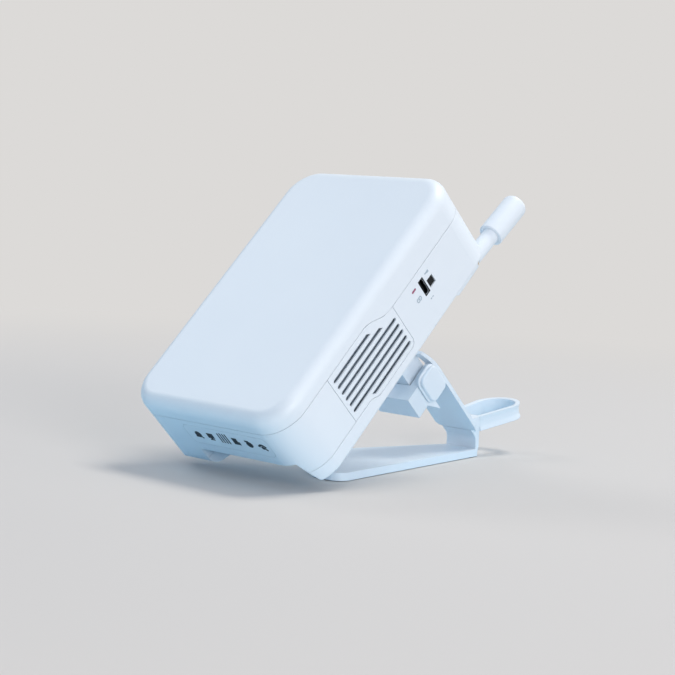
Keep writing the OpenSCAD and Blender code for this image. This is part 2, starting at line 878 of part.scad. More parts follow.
module hinge_nut() {
  color(metal_grey) in_yoke() difference() {
    translate([-yoke_w, 0, 0]) rotate([0, 90, 0]) cylinder(d = nut_side, h = nut_t, $fn = 6);
    rod(bolt_r + run_gap, -yoke_w - cut, -yoke_w + nut_t + cut);
  }
}

// Rounded-square knob with a step, on the bolt's end
module clamp_knob() {
  color(shell_white) in_yoke() {
    across(knob_seat, knob_seat + knob_step)
      rounded(knob_long + 2 * knob_ledge, knob_short + 2 * knob_ledge, knob_r);
    across(knob_seat + knob_step, knob_seat + knob_step + knob_cap) rounded(knob_long, knob_short, knob_r);
  }
}

// Centre of the bend, as seen from the side: across the stand's depth, and along the strap
bend_y = upright_back - bend_r;
bend_at = (bend_y - (strap_in - bend_r) * sin(lean)) / cos(lean);
bend_z = axis_h - bend_at * sin(lean) + (strap_in - bend_r) * cos(lean);

// A point given along and above the strap from the tilt axis, as the stand's depth and height
function from_axis(y, z) = [y * cos(lean) + z * sin(lean), axis_h - y * sin(lean) + z * cos(lean)];

// What lies under and ahead of the arm as seen from the side, up to a face t outside its inner one
module arm_core(t, over) {
  bow = 6;
  tip = tine_reach + over;
  reach = 4 * over * (bend_r + strap_t);
  drop = [for (k = [0 : bow]) tine_drop * (1 - cos(90 * k / bow))];
  upper = [for (k = [0 : bow]) from_axis(-tip * k / bow, strap_in + t - drop[k])];
  polygon(concat([from_axis(bend_at, strap_in + t)], upper,
    [from_axis(-tip, strap_in - tine_drop - cut - reach), [upright_back - cut - reach, tenon_low - reach],
      [upright_back + t, tenon_low - reach], [upright_back + t, bend_z]]));
  translate([bend_y, bend_z]) circle(bend_r + t);
}

// Side view of the tines, the strap, the bend and the upright
module arm_side() {
  difference() {
    arm_core(strap_t, 0);
    arm_core(0, cut);
  }
}

// Plan of the arm, drawn across and along the strap: full width down to its round shoulders
module arm_plan() {
  translate([-yoke_w, -body_l]) square([2 * yoke_w, body_l + shoulder_at - shoulder_r]);
  translate([shoulder_r - yoke_w, -body_l]) square([2 * (yoke_w - shoulder_r), body_l + shoulder_at]);
  for (s = [-1, 1]) translate([s * (yoke_w - shoulder_r), shoulder_at - shoulder_r]) circle(shoulder_r);
  translate([-upright_w, 0]) square([2 * upright_w, body_l]);
}

module stand_arm() {
  color(shade_white) difference() {
    union() {
      intersection() {
        across(-body_w, body_w) arm_side();
        in_yoke() translate([0, 0, -body_w]) linear_extrude(2 * body_w) arm_plan();
      }
      in_yoke() across(-yoke_w, yoke_w)
        translate([-yoke_front, -yoke_low])
          square([yoke_front + yoke_rear, yoke_low + strap_in + strap_t / 2]);
      in_yoke() for (s = [0, 1]) mirror([s, 0, 0]) across(cheek_in, yoke_w)
        polygon([[yoke_rear - cut, -eye_r * 0.4], [yoke_rear + tab_reach, -eye_r * 0.4],
          [yoke_rear, -eye_r * 1.2], [yoke_rear - cut, -eye_r * 1.2]]);
    }
    in_yoke() {
      across(-cheek_in, cheek_in) translate([-tine_reach - cut, -eye_r - stop_gap])
        square([tine_reach + cut + yoke_rear + 2 * cut, 2 * eye_r + stop_gap + strap_gap]);
      across(-cheek_in, cheek_in) translate([-tine_reach - cut, 0])
        square([tine_reach + cut + yoke_front * 0.6, strap_out + cut]);
      rod(bolt_r + run_gap, -yoke_w - cut, yoke_w + cut);
      translate([-yoke_w - cut, 0, 0]) rotate([0, 90, 0])
        cylinder(d = nut_side + seam_gap, h = nut_t + cut, $fn = 6);
    }
    for (s = [0, 1]) mirror([s, 0, 0])
      translate([tenon_w, upright_back - cut, -cut]) cube([yoke_w, strap_t + 2 * cut, base_top + cut]);
  }
}

// Loop frame: at the round end's centre, on the upper rim, sloping up to the back
module in_loop() {
  translate([0, upright_rear + loop_back, loop_top]) rotate([loop_tilt, 0, 0]) children();
}

// Long plan of the loop with a round rear end
module loop_plan(r) {
  circle(r);
  translate([-r, -2 * loop_back]) square([2 * r, 2 * loop_back]);
}

module cable_loop() {
  color(shade_white) difference() {
    in_loop() difference() {
      union() {
        translate([0, 0, -loop_h]) linear_extrude(loop_h) loop_plan(loop_r + loop_wall);
        for (z = [-loop_h, -rim_h]) translate([0, 0, z]) linear_extrude(rim_h)
          loop_plan(loop_r + loop_wall + rim_out);
      }
      translate([0, 0, -loop_h - cut]) linear_extrude(loop_h + 2 * cut) loop_plan(loop_r);
    }
    across(-body_w, body_w) arm_front();
  }
}

// Everything ahead of the arm's rear faces, as seen from the side
module arm_front() {
  intersection() {
    translate([0, axis_h]) rotate(-lean) translate([-body_l, strap_out - body_l])
      square([2 * body_l, body_l]);
    translate([upright_rear - body_l, -body_l]) square([body_l, 2 * body_l]);
  }
}

// Outline of the base plate drawn in by d: a tapered tongue with round corners
module base_plan(d) {
  difference() {
    base_tongue(d);
    translate([0, -base_front]) circle(base_cut_r + d);
  }
}

module base_tongue(d) {
  y0 = -base_front;
  y1 = upright_rear;
  taper = atan((base_front_w - base_rear_w) / (y1 - y0));
  front = [base_front_w - base_front_r, y0 + base_front_r];
  rear = [base_rear_w - base_rear_r, y1 - base_rear_r];
  fr = base_front_r - d;
  rr = max(base_rear_r - d, 0.2);
  rear_in = rear - [0, max(d - base_rear_r + 0.2, 0)];
  n = [cos(taper), sin(taper)];
  for (s = [0, 1]) mirror([s, 0]) {
    polygon([[0, y0 + d], [front[0], y0 + d], front + fr * n, rear_in + rr * n,
      [rear_in[0], rear_in[1] + rr], [0, rear_in[1] + rr]]);
    translate(front) circle(fr);
    translate(rear_in) circle(rr);
  }
}

module stand_base() {
  color(shade_white) difference() {
    translate([0, 0, sole_proud]) linear_extrude(base_top - sole_proud) base_plan(0);
    translate([0, 0, -cut]) linear_extrude(sole_t + cut) base_plan(sole_inset);
    translate([-tenon_w - tenon_gap, upright_back - tenon_gap, tenon_low])
      cube([2 * (tenon_w + tenon_gap), strap_t + cut, base_top]);
  }
}

module base_pad() {
  color(rubber_grey) linear_extrude(sole_t) base_plan(sole_inset + seam_gap);
}

front_cover();
lower_band();
rear_shell();
right_vent_panel();
left_vent_panel();
right_vent_gauze();
left_vent_gauze();
indicator_panel();
light_guide();
indicator_leds();
main_board();
processor();
thermal_pad();
heat_sink();
shield_cans();
port_board();
usb_port();
button_switch();
status_light();
mode_button();
antenna_socket();
antenna_nut();
antenna_lead();
antenna_neck();
antenna_sleeve();
housing_screws();
hinge_bracket();
bracket_screws();
friction_washers();
hinge_bolt();
hinge_nut();
clamp_knob();
stand_arm();
cable_loop();
stand_base();
base_pad();
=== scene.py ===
"""Wireless range extender on a tilting desk stand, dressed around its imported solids."""

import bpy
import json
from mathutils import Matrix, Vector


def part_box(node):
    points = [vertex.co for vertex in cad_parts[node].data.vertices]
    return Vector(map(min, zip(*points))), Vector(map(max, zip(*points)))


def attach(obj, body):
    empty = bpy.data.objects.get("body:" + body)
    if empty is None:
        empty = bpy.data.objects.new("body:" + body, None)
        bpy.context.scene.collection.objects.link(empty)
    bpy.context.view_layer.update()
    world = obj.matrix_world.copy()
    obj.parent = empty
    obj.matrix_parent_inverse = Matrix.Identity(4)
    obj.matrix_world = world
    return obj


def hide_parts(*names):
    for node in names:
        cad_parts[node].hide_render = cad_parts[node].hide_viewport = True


bl_info = {
    "name": "Wireless range extender",
    "version": (1, 0, 0),
    "blender": (4, 5, 0),
    "location": "View3D > Sidebar > Extender",
    "description": "Finishes, marks, fasteners and a plain stage for a range extender on its stand",
    "category": "Object",
}

import json
import math

import bpy
import numpy as np
from mathutils import Matrix, Vector

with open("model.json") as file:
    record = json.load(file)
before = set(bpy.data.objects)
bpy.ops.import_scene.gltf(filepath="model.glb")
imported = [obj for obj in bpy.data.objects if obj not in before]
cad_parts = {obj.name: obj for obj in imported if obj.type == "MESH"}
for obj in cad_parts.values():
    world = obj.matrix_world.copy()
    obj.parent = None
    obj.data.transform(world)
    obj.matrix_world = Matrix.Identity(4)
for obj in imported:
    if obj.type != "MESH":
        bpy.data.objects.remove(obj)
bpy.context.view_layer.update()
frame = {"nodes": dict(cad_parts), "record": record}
NODES = frame["nodes"]
SLOT_OF = {row["node"]: row["material_slot"] for row in frame["record"]["subparts"]}

MM = 0.001
TURN = 2 * math.pi

# The part's own sizes in millimetres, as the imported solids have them.
# Housing: the lean of its length, the tilt axis in it and over the table, and its half width
LEAN = math.radians(44)
AXIS_U, AXIS_V, AXIS_H = 112.6, 93.2, 43.569
SIDE_X = 54.0
# Lower end: the panel's depth, how far the marks lie ahead of it, and the lights behind them
PANEL_V, MARK_AHEAD = 10.2, 0.4
LAMP_FIRST, LAMP_PITCH = -13.375, 9.05
# Port: its place, its tongue, the contacts on it, and the black frame of painted shade round its
# mouth as width, height and corner
PORT_V, PORT_U = 16.25, 114.1
TONGUE_HALF, TONGUE_END = 0.35, 52.4
CONTACT_PITCH, CONTACT_WIDE, CONTACT_LONG, CONTACT_BACK = 0.5, 0.26, 4.0, 2.4
CONTACT_H, CONTACT_EDGE, CONTACT_CORNER = 0.06, 0.05, 0.08
SHADE_FRAME_OUTER, SHADE_FRAME_MOUTH = (9.7, 4.1, 0.25), (9.3, 3.5, 1.55)
SHADE_FRAME_BACK, SHADE_FRAME_FACE = -0.3, 0.06
# Button: its place, its cap, the inset and depth of its dish, and the flange that keeps it in
BUTTON_V, BUTTON_U = 17.8, 119.75
BUTTON_SIDE, BUTTON_FACE, BUTTON_CORNER, BUTTON_EDGE = 4.4, 53.6, 0.35, 0.3
BUTTON_DISH = ((0.7, 0.0), (1.2, 0.12), (1.9, 0.18))
FLANGE_THICK, FLANGE_OVER = 1.0, 1.7
# The antenna stands on its socket at this width, depth and length, and leans back by this angle
ANTENNA_X, ANTENNA_V, ANTENNA_U = 40.0, 44.6, 160.5
ANTENNA_LEAN = math.radians(5)
NECK_R, NECK_LONG, NECK_BORE, NECK_BORE_DEEP, NECK_EDGE = 4.5, 26.0, 3.3, 7.0, 0.3
SLEEVE_LOW, SLEEVE_LONG = 18.3, 26.8
SLEEVE_R, SLEEVE_TIP, SLEEVE_EDGE = 6.7, 3.0, 0.5
SLEEVE_BORE, SLEEVE_BORE_DEEP = 4.56, 9.4
# Least radius of a drawn-in corner, and of a turned profile at its axis
LEAST_R = 0.02
# Side vents: the panel's edges, its two steps and its rear corner
VENT_LOW, VENT_HIGH, VENT_REAR = 37.0, 91.5, 33.0
STEP_FRONT, STEP_FRONT_LOW, STEP_FRONT_RISE = 6.9, 70.0, 19.0
STEP_REAR, STEP_REAR_LOW, STEP_REAR_RISE = 30.0, 50.0, 8.0
VENT_CORNER, VENT_CORNER_CUT = 3.0, 0.9
# Depths behind the side of the panel's skin, its rim, its flange and the gauze, and their insets
SEAM, SKIN, RIM, FLANGE = 0.1, 0.9, 2.4, 3.6
RIM_INSET, FLANGE_REACH, BORDER = 0.7, 2.0, 0.6
GAUZE_FRONT, GAUZE_BACK, GAUZE_INSET = 2.5, 3.1, 0.8
# Slots: their row, their margins, and the slanted ends of those within reach of a step
SLOT_FIRST, SLOT_PITCH, SLOTS = 4.5, 4.15, 7
SLOT_FOOT, SLOT_TOP = 2.4, 2.2
STEP_REACH, SLOT_SLANT = 3.0, 1.1
SLANT_FROM, SLANT_LONG, SLANT_DROP, SLANT_LIFT = 1.8, 9.9, 4.2, 4.6
# The stand's upright and strap, and the loop behind them
UPRIGHT_REAR, UPRIGHT_HALF, STRAP_HALF = 49.1, 10.45, 14.3
LOOP_BACK, LOOP_TOP, LOOP_TILT = 25.6, 27.4, math.radians(10)
LOOP_R, LOOP_TAPER, LOOP_SUNK = 11.2, 5.5, 0.9
LOOP_WALL, LOOP_RIM, LOOP_EDGE = 2.0, 0.7, 0.35
# Web and cover behind the upright, as depth and height
COVER_PROUD, COVER_LAP, WEB_OVER, BROW = 0.15, 0.5, 0.2, 14.7
WEB_START, WEB_BOW, WEB_END, WEB_FOOT = (35.2, 23.6), (37.6, 21.4), 22.9, 44.4
BEND_AT, BEND_R, BEND_TURN = (41.7, 8.72), 4.85, 46
COVER_FRONT, COVER_TOP = 46.55, (42.04, 15.13)
# Base: its front, widths and heights, its corners, and the circle that sweeps its front left away
BASE_FRONT, BASE_HALF, BASE_REAR_HALF = 89.0, 35.3, 10.3
BASE_LOW, BASE_TOP, PAD_TOP, PAD_INSET = 0.4, 4.5, 1.2, 2.7
BASE_R, BASE_REAR_R, BASE_REAR_IN, BASE_LEAST_R = 7.0, 1.5, 1.2, 0.2
SWEEP_X, SWEEP_AHEAD, SWEEP_R = -22.9, 8.0, 42.0
# Bracket screws: their square, seat and tip, their sizes, and the arms of the cross recess
SCREW_PITCH = 28.0
SCREW_SEAT, SCREW_TIP = 41.6, 30.2
SHANK_R, HEAD_R, HEAD_H, HEAD_EDGE, HEAD_FALL = 1.5, 2.6, 1.8, 0.1, 0.45
ARM_HALF, ARM_WALL, ARM_LONG, ARM_RAMP = 0.45, 0.12, 1.55, 0.5
# Clamp knob: its seat and sides, the ledge round its cap, and the rounds on the way up
KNOB_SEAT = 14.7
KNOB_LONG, KNOB_SHORT, KNOB_R = 17.0, 14.0, 4.5
KNOB_LEDGE, KNOB_STEP, KNOB_CAP, KNOB_CROWN = 0.9, 1.2, 2.4, 0.18
KNOB_FOOT_R, KNOB_LIP_R, KNOB_NOOK_R, KNOB_NOOK, KNOB_FLAT = 0.25, 0.35, 0.3, 0.02, 0.4

# The stage in metres: floor and bowl, where the floor's colours change, and the lights' aim
FLOOR_R, BOWL_REACH, BOWL_RISE = 1.5, 2.2, 2.6
BOUNCE_FROM, BOUNCE_TO = 0.0, 0.16
FADE_FROM, FADE_TO = 0.25, 1.0
LIGHT_AIM, LIGHT_SIZE = Vector((0.0, -0.03, 0.07)), 0.9
EYE_AT = Vector((0.6554, -0.7438, 0.1458))
EYE_RIGHT, EYE_AHEAD = Vector((0.719, 0.693, 0.055)), Vector((-0.688, 0.721, -0.082))


def linear(code):
    """An sRGB hex colour as linear RGBA."""
    part = np.array([int(code[i:i + 2], 16) for i in (1, 3, 5)]) / 255
    part = np.where(part <= 0.04045, part / 12.92, ((part + 0.055) / 1.055) ** 2.4)
    return (*part.tolist(), 1.0)


# Places in the part

def in_yoke(x, y, z):
    """Points from the tilt axis, with y and z turned back by the lean about it: mm to metres."""
    c, s = math.cos(LEAN), math.sin(LEAN)
    return MM * np.stack(np.broadcast_arrays(x, y * c + z * s, AXIS_H - y * s + z * c), axis=-1)


def in_housing(x, v, u):
    """Points by width x, depth v behind the lower seam and length u from the lower end."""
    return in_yoke(x, np.asarray(v) - AXIS_V, np.asarray(u) - AXIS_U)


def in_antenna(x, y, z):
    """Points about the antenna's own axis, which leans back from the housing's length."""
    c, s = math.cos(ANTENNA_LEAN), math.sin(ANTENNA_LEAN)
    return in_housing(ANTENNA_X + x, ANTENNA_V + y * c + z * s, ANTENNA_U - y * s + z * c)


def in_loop(x, y, z):
    """Points from the centre of the loop's round end, sloping up to the back."""
    c, s = math.cos(LOOP_TILT), math.sin(LOOP_TILT)
    back, up = UPRIGHT_REAR + LOOP_BACK + y * c - z * s, LOOP_TOP + y * s + z * c
    return MM * np.stack(np.broadcast_arrays(x, back, up), -1)


# Surfaces

def shell(rings, looped=False):
    """Rings of points, rows by columns by 3, joined to a closed surface.

    Each ring joins the next by quads and each row closes on itself. A looped shell joins its last
    ring to its first; otherwise each end is a fan to its ring's mean point.
    """
    rows, cols = rings.shape[:2]
    points = rings.reshape(-1, 3)
    row, col = np.meshgrid(np.arange(rows if looped else rows - 1), np.arange(cols), indexing="ij")
    side, above = (col + 1) % cols, (row + 1) % rows * cols
    quads = np.stack([row * cols + col, row * cols + side, above + side, above + col], -1)
    faces = [quads.reshape(-1, 4)]
    if not looped:
        ring = np.arange(cols)
        after = (ring + 1) % cols
        low, high = len(points), len(points) + 1
        points = np.vstack([points, rings[0].mean(0), rings[-1].mean(0)])
        faces.append(np.stack([after, ring, np.full(cols, low)], -1))
        last = (rows - 1) * cols
        faces.append(np.stack([last + ring, last + after, np.full(cols, high)], -1))
    return outward(points, faces)


def outward(points, faces):
    """Turns a closed surface's faces so that its signed volume is positive."""
    middle = points.mean(0)
    volume = 0.0
    for face in faces:
        p = points[face] - middle
        for k in range(1, face.shape[1] - 1):
            volume += np.einsum("ij,ij->i", p[:, 0], np.cross(p[:, k], p[:, k + 1])).sum()
    if volume < 0:
        faces = [face[:, ::-1] for face in faces]
    return points, faces


def prism(outline, low, high):
    """A closed outline of any shape carried straight from one height to another, with flat ends."""
    count = len(outline)
    rise = np.repeat([low, high], count)[:, None]
    points = np.hstack([np.tile(outline, (2, 1)), rise])
    ring = np.arange(count)
    after = (ring + 1) % count
    walls = np.stack([ring, after, after + count, ring + count], -1)
    return outward(points, [walls, ring[None, ::-1], ring[None] + count])


def pierced_plate(across, rows, solid, back, front):
    """A plate over columns at the given places and rows of heights, open where a cell isn't solid.

    Each solid cell gives a quad on both faces, and each of its edges with nothing beyond it a wall.
    """
    count = rows.size
    flat = np.stack([np.broadcast_to(across, rows.shape), rows], -1).reshape(-1, 2)
    points = np.vstack([np.insert(flat, 0, front, 1), np.insert(flat, 0, back, 1)])
    spot = np.arange(count).reshape(rows.shape)
    cells = np.stack([spot[:-1, :-1], spot[:-1, 1:], spot[1:, 1:], spot[1:, :-1]], -1)
    full = cells[solid]
    faces = [full, full[:, ::-1] + count]
    ringed = np.pad(solid, 1)
    for k, shift in enumerate(((1, 0), (0, -1), (-1, 0), (0, 1))):
        open_side = solid & ~np.roll(ringed, shift, (0, 1))[1:-1, 1:-1]
        start, end = cells[open_side][:, k], cells[open_side][:, (k + 1) % 4]
        faces.append(np.stack([end, start, start + count, end + count], -1))
    return outward(points, faces)


def rounded_ring(wide, high, radius, inset=0.0, steps=9):
    """Round-cornered rectangle drawn in by inset: corner centres plus radius along a turn."""
    turn = np.radians(np.arange(4)[:, None] * 90 + np.linspace(0, 90, steps))
    middle = np.radians(np.arange(4) * 90 + 45)[:, None]
    left = max(radius - inset, LEAST_R)
    over = inset - (radius - left)
    a = np.sign(np.cos(middle)) * (wide / 2 - radius - over) + left * np.cos(turn)
    b = np.sign(np.sin(middle)) * (high / 2 - radius - over) + left * np.sin(turn)
    return np.stack([a.ravel(), b.ravel()], -1)


def stack(wide, high, radius, profile, steps=9):
    """Round-cornered rectangles by a profile of inset and height, as a, b and height."""
    rings = np.stack([rounded_ring(wide, high, radius, inset, steps) for inset, _ in profile])
    heights = np.repeat(np.array([h for _, h in profile])[:, None], rings.shape[1], axis=1)
    return rings[..., 0], rings[..., 1], heights


def quarter(inset, height, radius, steps=5):
    """A quarter round of a profile that ends at the given inset and height."""
    turn = np.radians(np.linspace(0, 90, steps))
    return [(inset - radius * np.cos(t), height - radius + radius * np.sin(t)) for t in turn]


def lathe(profile, steps=48):
    """A profile of radius and height carried once round an axis, as two sides and the height."""
    radius, height = np.array(profile, float).T[..., None]
    turn = np.linspace(0, TURN, steps, endpoint=False)
    return radius * np.cos(turn), radius * np.sin(turn), np.repeat(height, steps, 1)


def ribbon(path, wide, thick, closed=False):
    """A flat line of one width and height along a path, as a, b and height at its four edges."""
    path = np.asarray(path, float)
    if closed:
        along = np.roll(path, -1, 0) - np.roll(path, 1, 0)
    else:
        along = np.gradient(path, axis=0)
    along /= np.linalg.norm(along, axis=1, keepdims=True)
    out = np.stack([-along[:, 1], along[:, 0]], -1) * wide / 2
    left, right = path + out, path - out
    edges = np.stack([left, right, right, left], 1)
    heights = np.broadcast_to([0.0, 0.0, thick, thick], edges.shape[:2])
    return edges[..., 0], edges[..., 1], heights


def arc(centre, radius, start, end, steps=20):
    """Points of a circle from one angle to another, in degrees."""
    turn = np.radians(np.linspace(start, end, steps))
    return np.stack([centre[0] + radius * np.cos(turn), centre[1] + radius * np.sin(turn)], -1)


def both_sides(points, faces):
    """A surface by width, depth and length on the housing's right, and its mirror on the left."""
    x, v, u = points.T
    return [outward(in_housing(side * x, v, u), faces) for side in (1, -1)]


def make_piece(name, shells, finish, body, replaced=(), sharp=40):
    """Joins closed surfaces into one smooth piece that rides a body, takes the named finish, and
    hides the nodes it replaces.
    """
    points, faces, start = [], [], 0
    for some, groups in shells:
        points.append(some)
        for group in groups:
            faces.extend((group + start).tolist())
        start += len(some)
    mesh = bpy.data.meshes.new(name)
    mesh.from_pydata(np.vstack(points).tolist(), [], faces)
    mesh.validate()
    mesh.shade_smooth()
    mesh.set_sharp_from_angle(angle=math.radians(sharp))
    mesh.materials.append(bpy.data.materials[finish])
    piece = bpy.data.objects.new(name, mesh)
    bpy.context.scene.collection.objects.link(piece)
    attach(piece, body)
    if replaced:
        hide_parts(*replaced)
    return piece


# Finishes

def add_node(tree, kind, settings=(), inputs=()):
    """Adds a node, sets its attributes, and fills each named input with a value or a link."""
    node = tree.nodes.new(kind)
    for key, value in dict(settings).items():
        setattr(node, key, value)
    for key, value in dict(inputs).items():
        if isinstance(value, bpy.types.NodeSocket):
            tree.links.new(value, node.inputs[key])
        else:
            node.inputs[key].default_value = value
    return node


def new_finish(name):
    """An empty node material, as the material and its tree."""
    finish = bpy.data.materials.get(name) or bpy.data.materials.new(name)
    finish.use_nodes = True
    finish.node_tree.nodes.clear()
    return finish, finish.node_tree


def coat(tree, inputs):
    """Ends a material with one principled surface."""
    skin = add_node(tree, "ShaderNodeBsdfPrincipled", {}, inputs)
    add_node(tree, "ShaderNodeOutputMaterial", {}, {"Surface": skin.outputs[0]})


def object_place(tree):
    """Object coordinates, in metres."""
    return add_node(tree, "ShaderNodeTexCoord").outputs["Object"]


def housing_axes(tree):
    """Object coordinates turned so that y runs along the housing's depth and z along its length."""
    return add_node(tree, "ShaderNodeMapping", {}, {
        "Vector": object_place(tree), "Rotation": (LEAN, 0, 0)}).outputs[0]


def noise(tree, where, grain, detail):
    """Cloudy noise from 0 to 1 with grains of a size in metres."""
    return add_node(tree, "ShaderNodeTexNoise", {}, {
        "Vector": where, "Scale": 1 / grain, "Detail": detail}).outputs["Fac"]


def blend(tree, share, low, high):
    """A colour between two others, by a share from 0 to 1."""
    return add_node(tree, "ShaderNodeMix", {"data_type": "RGBA"}, {
        0: share, 6: low, 7: high}).outputs[2]


def between(tree, share, low, high):
    """A value between two others, by a share from 0 to 1."""
    return add_node(tree, "ShaderNodeMapRange", {}, {
        "Value": share, "To Min": low, "To Max": high}).outputs[0]


def smooth_rise(tree, value, start, end):
    """A smooth step from 0 to 1 as a value goes from start to end."""
    return add_node(tree, "ShaderNodeMapRange", {"interpolation_type": "SMOOTHSTEP"}, {
        "Value": value, "From Min": start, "From Max": end}).outputs[0]


def dents(tree, height, strength, depth, **more):
    """A normal dented by a height from 0 to 1, to a depth in metres."""
    return add_node(tree, "ShaderNodeBump", {}, {
        "Strength": strength, "Distance": depth, "Height": height, **more}).outputs[0]


def join(tree, operation, first, second, clamp=False):
    """Two values joined by a sum, a product or the like."""
    return add_node(tree, "ShaderNodeMath", {"operation": operation, "use_clamp": clamp}, {
        0: first, 1: second}).outputs[0]


def looked_at(tree):
    """One where the eye, a reflection or a clear piece looks at a surface; none for its light."""
    path = add_node(tree, "ShaderNodeLightPath").outputs
    seen = join(tree, "ADD", path["Is Camera Ray"], path["Is Glossy Ray"], True)
    return join(tree, "ADD", seen, path["Is Transmission Ray"], True)


def moulded_abs(name, colour, shade, grain, edge, rough):
    """Injection-moulded ABS with a fine spark-eroded skin: satin, mottled, soft on its edges.

    The real skin's grain is about 0.1 mm; it is drawn coarser here so that it shows at all.
    """
    finish, tree = new_finish(name)
    where = object_place(tree)
    skin = noise(tree, where, grain, 3.0)
    soft = add_node(tree, "ShaderNodeBevel", {"samples": 4}, {"Radius": edge}).outputs[0]
    coat(tree, {
        "Base Color": blend(tree, noise(tree, where, 60 * MM, 2.0), shade, colour),
        "Roughness": between(tree, skin, rough - 0.05, rough + 0.07), "IOR": 1.54,
        "Normal": dents(tree, skin, 0.05, 0.05 * MM, Normal=soft)})
    return finish


def woven_gauze(name):
    """Woven polyester dust gauze: threads 0.9 mm apart, dull and grey, with painted shade of the
    dark inside between them.
    """
    finish, tree = new_finish(name)
    # A wave texture at scale 1 repeats 20 times in a full turn
    even = {"Vector": housing_axes(tree), "Scale": TURN / 20 / (0.9 * MM)}
    warp, weft = [add_node(tree, "ShaderNodeTexWave", {"bands_direction": way}, even).outputs["Fac"]
                  for way in "YZ"]
    weave = join(tree, "MAXIMUM", warp, weft)
    coat(tree, {
        # Darker between the threads: painted shade of the inside behind the gauze; paler on the
        # threads
        "Base Color": blend(tree, weave, linear("#5A6570"), linear("#8A96A3")),
        "Roughness": 0.8, "Normal": dents(tree, weave, 0.6, 0.2 * MM)})
    return finish


def speckled(name, colour, fleck, size, rough, metallic=0.0, ior=1.5, bump=0.2, depth=0.02):
    """Two close tones in specks of a real size, with the same specks as bump and gloss."""
    finish, tree = new_finish(name)
    specks = noise(tree, object_place(tree), size * MM, 4.0)
    coat(tree, {
        "Base Color": blend(tree, specks, linear(colour), linear(fleck)),
        "Roughness": between(tree, specks, rough * 0.8, min(rough * 1.2, 1.0)),
        "Metallic": metallic, "IOR": ior, "Normal": dents(tree, specks, bump, depth * MM)})
    return finish


def brushed_metal(name, colour, streak, rough, along):
    """Rolled or drawn metal: fine streaks 0.3 mm apart that run along one axis of the housing."""
    finish, tree = new_finish(name)
    fine = [1 / (0.3 * MM)] * 3
    fine["xyz".index(along)] = 1 / (12 * MM)
    drawn = add_node(tree, "ShaderNodeMapping", {"vector_type": "POINT"}, {
        "Vector": housing_axes(tree), "Scale": fine}).outputs[0]
    streaks = noise(tree, drawn, 1.0, 3.0)
    coat(tree, {
        "Base Color": blend(tree, streaks, linear(colour), linear(streak)),
        "Roughness": between(tree, streaks, rough - 0.08, rough + 0.08),
        "Metallic": 1.0, "Normal": dents(tree, streaks, 0.15, 0.02 * MM)})
    return finish


def solder_mask(name):
    """Glass-fibre board under green solder mask: copper tracks 1.6 mm apart show as paler lines."""
    finish, tree = new_finish(name)
    tracks = add_node(tree, "ShaderNodeTexBrick", {"offset": 0.5, "squash": 1.0}, {
        "Vector": housing_axes(tree), "Color1": linear("#1F5C3F"), "Color2": linear("#236648"),
        "Mortar": linear("#3C8A63"), "Scale": 1 / (8 * MM), "Mortar Size": 0.03,
        "Brick Width": 0.9, "Row Height": 0.2}).outputs
    coat(tree, {
        "Base Color": tracks["Color"], "Roughness": 0.35,
        "Normal": dents(tree, tracks["Fac"], 0.3, 0.04 * MM)})
    return finish


def tinted_lens(name, colour, glow):
    """Moulded acrylic lens: glossy, tinted, lit from behind in soft patches 1.5 mm across."""
    finish, tree = new_finish(name)
    patch = noise(tree, object_place(tree), 1.5 * MM, 2.0)
    coat(tree, {
        "Base Color": blend(tree, patch, linear(colour), linear(glow)), "Roughness": 0.18,
        "IOR": 1.49, "Emission Color": linear(glow), "Emission Strength": 0.12})
    return finish


def dress(slots):
    """Gives every CAD node of the given slots its finish."""
    for node, slot in SLOT_OF.items():
        if slot in slots:
            for holder in NODES[node].material_slots:
                holder.material = slots[slot]


# What a user may change

class ExtenderFinish(bpy.types.PropertyGroup):
    """Colours and skin of the mouldings."""
    housing_colour: bpy.props.FloatVectorProperty(
        name="Housing colour", description="Colour of the housing's mouldings", subtype="COLOR",
        size=4, min=0, max=1, default=linear("#E2EAF2"))
    housing_shade: bpy.props.FloatVectorProperty(
        name="Housing mottle", description="Second tone of the housing's mouldings",
        subtype="COLOR", size=4, min=0, max=1, default=linear("#DDE6EF"))
    stand_colour: bpy.props.FloatVectorProperty(
        name="Stand colour", description="Colour of the stand's mouldings", subtype="COLOR",
        size=4, min=0, max=1, default=linear("#DDE6EF"))
    stand_shade: bpy.props.FloatVectorProperty(
        name="Stand mottle", description="Second tone of the stand's mouldings", subtype="COLOR",
        size=4, min=0, max=1, default=linear("#D7E2EC"))
    grain: bpy.props.FloatProperty(
        name="Grain", description="Size of the moulded skin's grain", unit="LENGTH",
        min=0.0001, max=0.005, default=0.0007)
    edge: bpy.props.FloatProperty(
        name="Edge radius", description="Radius that the light sees on the mouldings' edges",
        unit="LENGTH", min=0.0, max=0.002, default=0.0004)
    gloss: bpy.props.FloatProperty(
        name="Roughness", description="Roughness of the mouldings", subtype="FACTOR",
        min=0.1, max=0.9, default=0.42)


class ExtenderDetail(bpy.types.PropertyGroup):
    """Sizes of the small pieces."""
    mark_height: bpy.props.FloatProperty(
        name="Ink height", description="Height of the printed ink", unit="LENGTH",
        min=0.00002, max=0.0002, default=0.00005)
    knob_edge: bpy.props.FloatProperty(
        name="Knob edge", description="Edge radius of the knob's cap", unit="LENGTH",
        min=0.0003, max=0.0018, default=0.0009)
    recess: bpy.props.FloatProperty(
        name="Cross recess", description="Depth of the screws' cross recess", unit="LENGTH",
        min=0.0004, max=0.0014, default=0.0011)
    slot_width: bpy.props.FloatProperty(
        name="Slot width", description="Width of the vent panels' slots", unit="LENGTH",
        min=0.001, max=0.0026, default=0.002)
    loop_height: bpy.props.FloatProperty(
        name="Loop height", description="Height of the cable loop's band", unit="LENGTH",
        min=0.005, max=0.01, default=0.0083)
    contacts: bpy.props.IntProperty(
        name="Contacts", description="Contacts on each face of the port's tongue",
        min=4, max=12, default=12)


